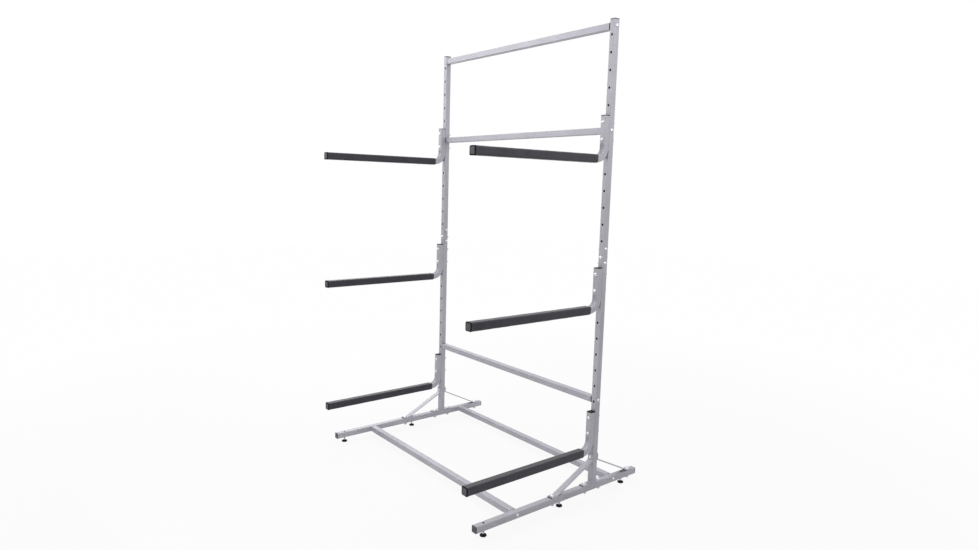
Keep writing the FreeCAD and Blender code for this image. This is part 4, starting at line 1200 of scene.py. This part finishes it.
def tube_blank(start, end):
    """A tube along the Z axis about the origin, with eased ends."""
    half = TUBE / 2
    middle = EASE_MIDDLE * END_EASE
    stations = [(start, END_EASE), (start + middle, middle), (start + END_EASE, 0.0)]
    stations += [(start + end - height, inset) for height, inset in reversed(stations)]
    rings = [plug_ring(half - inset, TUBE_CORNER - inset, height) for height, inset in stations]
    rings += [plug_ring(BORE_HALF, BORE_CORNER, end), plug_ring(BORE_HALF, BORE_CORNER, start)]
    return loft(rings, closed=True)


def punched_tube(name, node, blank, middle, across, spots):
    """A tube with a hole at every (place, way) spot, as a piece that stands for a node."""
    holder = link("Blank", outward(blank))
    mesh = grow(PUNCHED_TUBE, spot_mesh(spots), {
        "Blank": holder, "Punch": PUNCH, "Middle": middle, "Across": across, "Reach": BORE_REACH,
        "Bare and shaded": BARE_STEEL_AND_SHADE, "Material": FINISHES["powder_coat"]})
    bpy.data.objects.remove(holder)
    finish_piece(name, mesh, "powder_coat", [node])


def both_walls(centre, axis):
    """A hole through two opposite walls, as two spots on the tube's skin."""
    return [(Vector(centre) + way * TUBE / 2 * Vector(axis), way * Vector(axis)) for way in (1, -1)]


def punch_post(side):
    x = SIDES[side] * POST_X
    holes = [((x, POST_Y, hole_height(k)), BEHIND) for k in ROW_HOLES]
    holes += [((x, POST_Y, height), (1, 0, 0)) for height in BAR_HEIGHTS]
    holes += [((x, POST_Y, hole_height(SPLICE_HOLE) + rise), (1, 0, 0)) for rise in SPLICE_RISES]
    holes.append(((x, POST_Y, BRACE_BOLT), BEHIND))
    for part, start, end in (("lower", LEG_TOP + BASE_PLATE, SEAM), ("upper", SEAM, POST_TOP)):
        blank = moved(tube_blank(start, end), x, POST_Y)
        crossed = [hole for hole in holes if start < hole[0][2] < end]
        spots = [spot for centre, axis in crossed for spot in both_walls(centre, axis)]
        punched_tube(f"post_tube_{part}_{side}", f"post_{part}_{side}", blank,
                     (x, POST_Y, 0.0), (1.0, 1.0, 0.0), spots)


def punch_leg(side):
    x = SIDES[side] * POST_X
    z = LEG_TOP - TUBE / 2
    blank = tube_blank(-LEG_REAR, -LEG_FRONT)
    blank.transform(Matrix.Translation((x, 0, z)) @ Matrix.Rotation(math.radians(90), 4, "X"))
    holes = [((x, y, z), UP) for y in (*FEET, *BRACE_FEET, *PLATE_BOLTS)]
    holes += [((x, y, z), (1, 0, 0)) for y in BASE_BARS]
    spots = [spot for centre, axis in holes for spot in both_walls(centre, axis)]
    punched_tube(f"leg_tube_{side}", f"leg_{side}", blank, (x, 0.0, z), (1.0, 0.0, 1.0), spots)


for side in SIDES:
    punch_post(side)
    punch_leg(side)
bpy.data.objects.remove(PUNCH)

# %% [markdown]
# ## Camera
# The photograph was taken from the right, at about chest height, with a fairly wide lens:
# the near post is plainly larger than the far one. Where the camera stood follows from the
# rack itself, because its tubes are square to each other, so their edges run to three
# vanishing points. Copying that camera makes every length comparable with the photograph.

# %% Camera
CAMERA_SPOT = Vector((2.68865, -2.10227, 1.46735))
CAMERA_YAW = math.radians(51.0219)
CAMERA_TILT = math.radians(-7.6719)
CAMERA_ROLL = math.radians(-1.5814)
CAMERA_LENS = 24.525
SENSOR_WIDTH = 36.0
CAMERA_REACH = 60.0


def aim_camera():
    """The camera that took the photograph, solved from the rack's own square corners."""
    forward = Vector((-math.sin(CAMERA_YAW) * math.cos(CAMERA_TILT),
                      math.cos(CAMERA_YAW) * math.cos(CAMERA_TILT), math.sin(CAMERA_TILT)))
    right = forward.cross(Vector((0, 0, 1))).normalized()
    up = right.cross(forward)
    lens = bpy.data.cameras.new("Camera")
    lens.lens = CAMERA_LENS
    lens.sensor_width = SENSOR_WIDTH
    lens.sensor_fit = "HORIZONTAL"
    lens.clip_end = CAMERA_REACH
    camera = link("Camera", lens)
    rolled_right = math.cos(CAMERA_ROLL) * right - math.sin(CAMERA_ROLL) * up
    rolled_up = math.sin(CAMERA_ROLL) * right + math.cos(CAMERA_ROLL) * up
    axes = Matrix((rolled_right, rolled_up, -forward)).transposed().to_4x4()
    camera.matrix_world = Matrix.Translation(CAMERA_SPOT) @ axes
    bpy.context.scene.camera = camera
    print("camera:", CAMERA_LENS, "mm lens at", CAMERA_SPOT)


aim_camera()

# %% [markdown]
# ## Floor and light
# The photograph is a studio cut-out: an even white ground and soft light from many sides. A
# floor that is only lit goes grey at the horizon, and one that only glows loses the shadow
# that makes the rack stand. So the floor mixes both: nearly all glow, with a small lit share
# near the rack, where a faint shadow falls, that shrinks to almost nothing further out.
# The white surroundings give most of the light on the rack. Softboxes then set its faces
# apart: one overhead and behind for the upper faces, two at the front left whose sheen runs
# along the upper bars, one on the right for the near post, one at the left rear for the far
# leg, and a low card in front that opens the undersides.

# %% Floor
FLOOR_HALF = 12.0
SHADOW_REACH = 1.0
WHITE_REACH = 4.0
GLOW_NEAR = 0.89
GLOW_FAR = 0.99


def lay_floor():
    corners = [(-FLOOR_HALF, -FLOOR_HALF, 0), (FLOOR_HALF, -FLOOR_HALF, 0),
               (FLOOR_HALF, FLOOR_HALF, 0), (-FLOOR_HALF, FLOOR_HALF, 0)]
    mesh = new_mesh("Floor", corners, faces=[(0, 1, 2, 3)])
    material = bpy.data.materials.new("Studio floor, matt white")
    material.use_nodes = True
    material.node_tree.nodes.clear()
    add = partial(add_node, material.node_tree)
    matte = add("ShaderNodeBsdfDiffuse", {"Color": from_hex("F4F4F4")})
    glow = add("ShaderNodeEmission", {"Color": from_hex("FFFFFF"), "Strength": 1.0})
    position = add("ShaderNodeTexCoord").outputs["Object"]
    distance = add("ShaderNodeVectorMath", [position], operation="LENGTH")
    fade = add("ShaderNodeMapRange", {
        "Value": distance.outputs["Value"], "From Min": SHADOW_REACH, "From Max": WHITE_REACH,
        "To Min": GLOW_NEAR, "To Max": GLOW_FAR}, interpolation_type="SMOOTHSTEP")
    path = add("ShaderNodeLightPath")
    share = add("ShaderNodeMath", [path.outputs["Is Camera Ray"], fade], operation="MULTIPLY")
    both = add("ShaderNodeMixShader", [share, matte, glow])
    add("ShaderNodeOutputMaterial", {"Surface": both})
    mesh.materials.append(material)
    link("Floor", mesh)
    print("floor:", 2 * FLOOR_HALF, "m wide")


lay_floor()

# %% Light
SURROUNDINGS = 0.49
# Each lamp's place, its target, its width and height in metres, and its watts.
LAMPS = {
    "Overhead softbox": ((-0.3, 1.0, 3.6), (0.0, 0.1, 0.6), 2.6, 2.6, 23.0),
    "Front softbox": ((-1.6, -1.5, 2.3), (0.0, 0.23, 1.8), 1.2, 0.8, 8.0),
    "Left front softbox": ((-2.8, -1.4, 3.6), (-0.3, 0.2, 1.9), 1.6, 1.2, 17.0),
    "Right softbox": ((1.9, 0.3, 2.3), (0.64, 0.2, 2.0), 0.8, 0.8, 7.0),
    "Left rear softbox": ((-2.5, 0.6, 1.7), (-0.64, -0.2, 0.06), 1.6, 1.6, 14.0),
    "Low card": ((0.4, -1.8, 0.3), (0.0, 0.2, 2.0), 1.6, 0.5, 5.0),
}


def hang_light(name, spot, target, width, height, watts):
    lamp = bpy.data.lights.new(name, "AREA")
    lamp.shape = "RECTANGLE"
    lamp.size = width
    lamp.size_y = height
    lamp.energy = watts
    light = link(name, lamp)
    aim = (Vector(target) - Vector(spot)).to_track_quat("-Z", "Y").to_matrix().to_4x4()
    light.matrix_world = Matrix.Translation(spot) @ aim


def light_studio():
    """Softboxes, and surroundings that look white but light the rack only softly."""
    world = bpy.data.worlds.new("Studio")
    bpy.context.scene.world = world
    world.use_nodes = True
    add = partial(add_node, world.node_tree)
    path = add("ShaderNodeLightPath").outputs
    mirrored = add("ShaderNodeMath", [path["Is Camera Ray"], path["Is Glossy Ray"]], operation="MAXIMUM")
    seen = add("ShaderNodeMath", [mirrored, path["Is Transmission Ray"]], operation="MAXIMUM")
    strength = add("ShaderNodeMapRange", {"Value": seen, "To Min": SURROUNDINGS, "To Max": 1.0})
    set_inputs(world.node_tree.nodes["Background"], {"Color": from_hex("FFFFFF"), "Strength": strength})
    for name, settings in LAMPS.items():
        hang_light(name, *settings)


light_studio()
bpy.context.scene.view_settings.view_transform = "Standard"
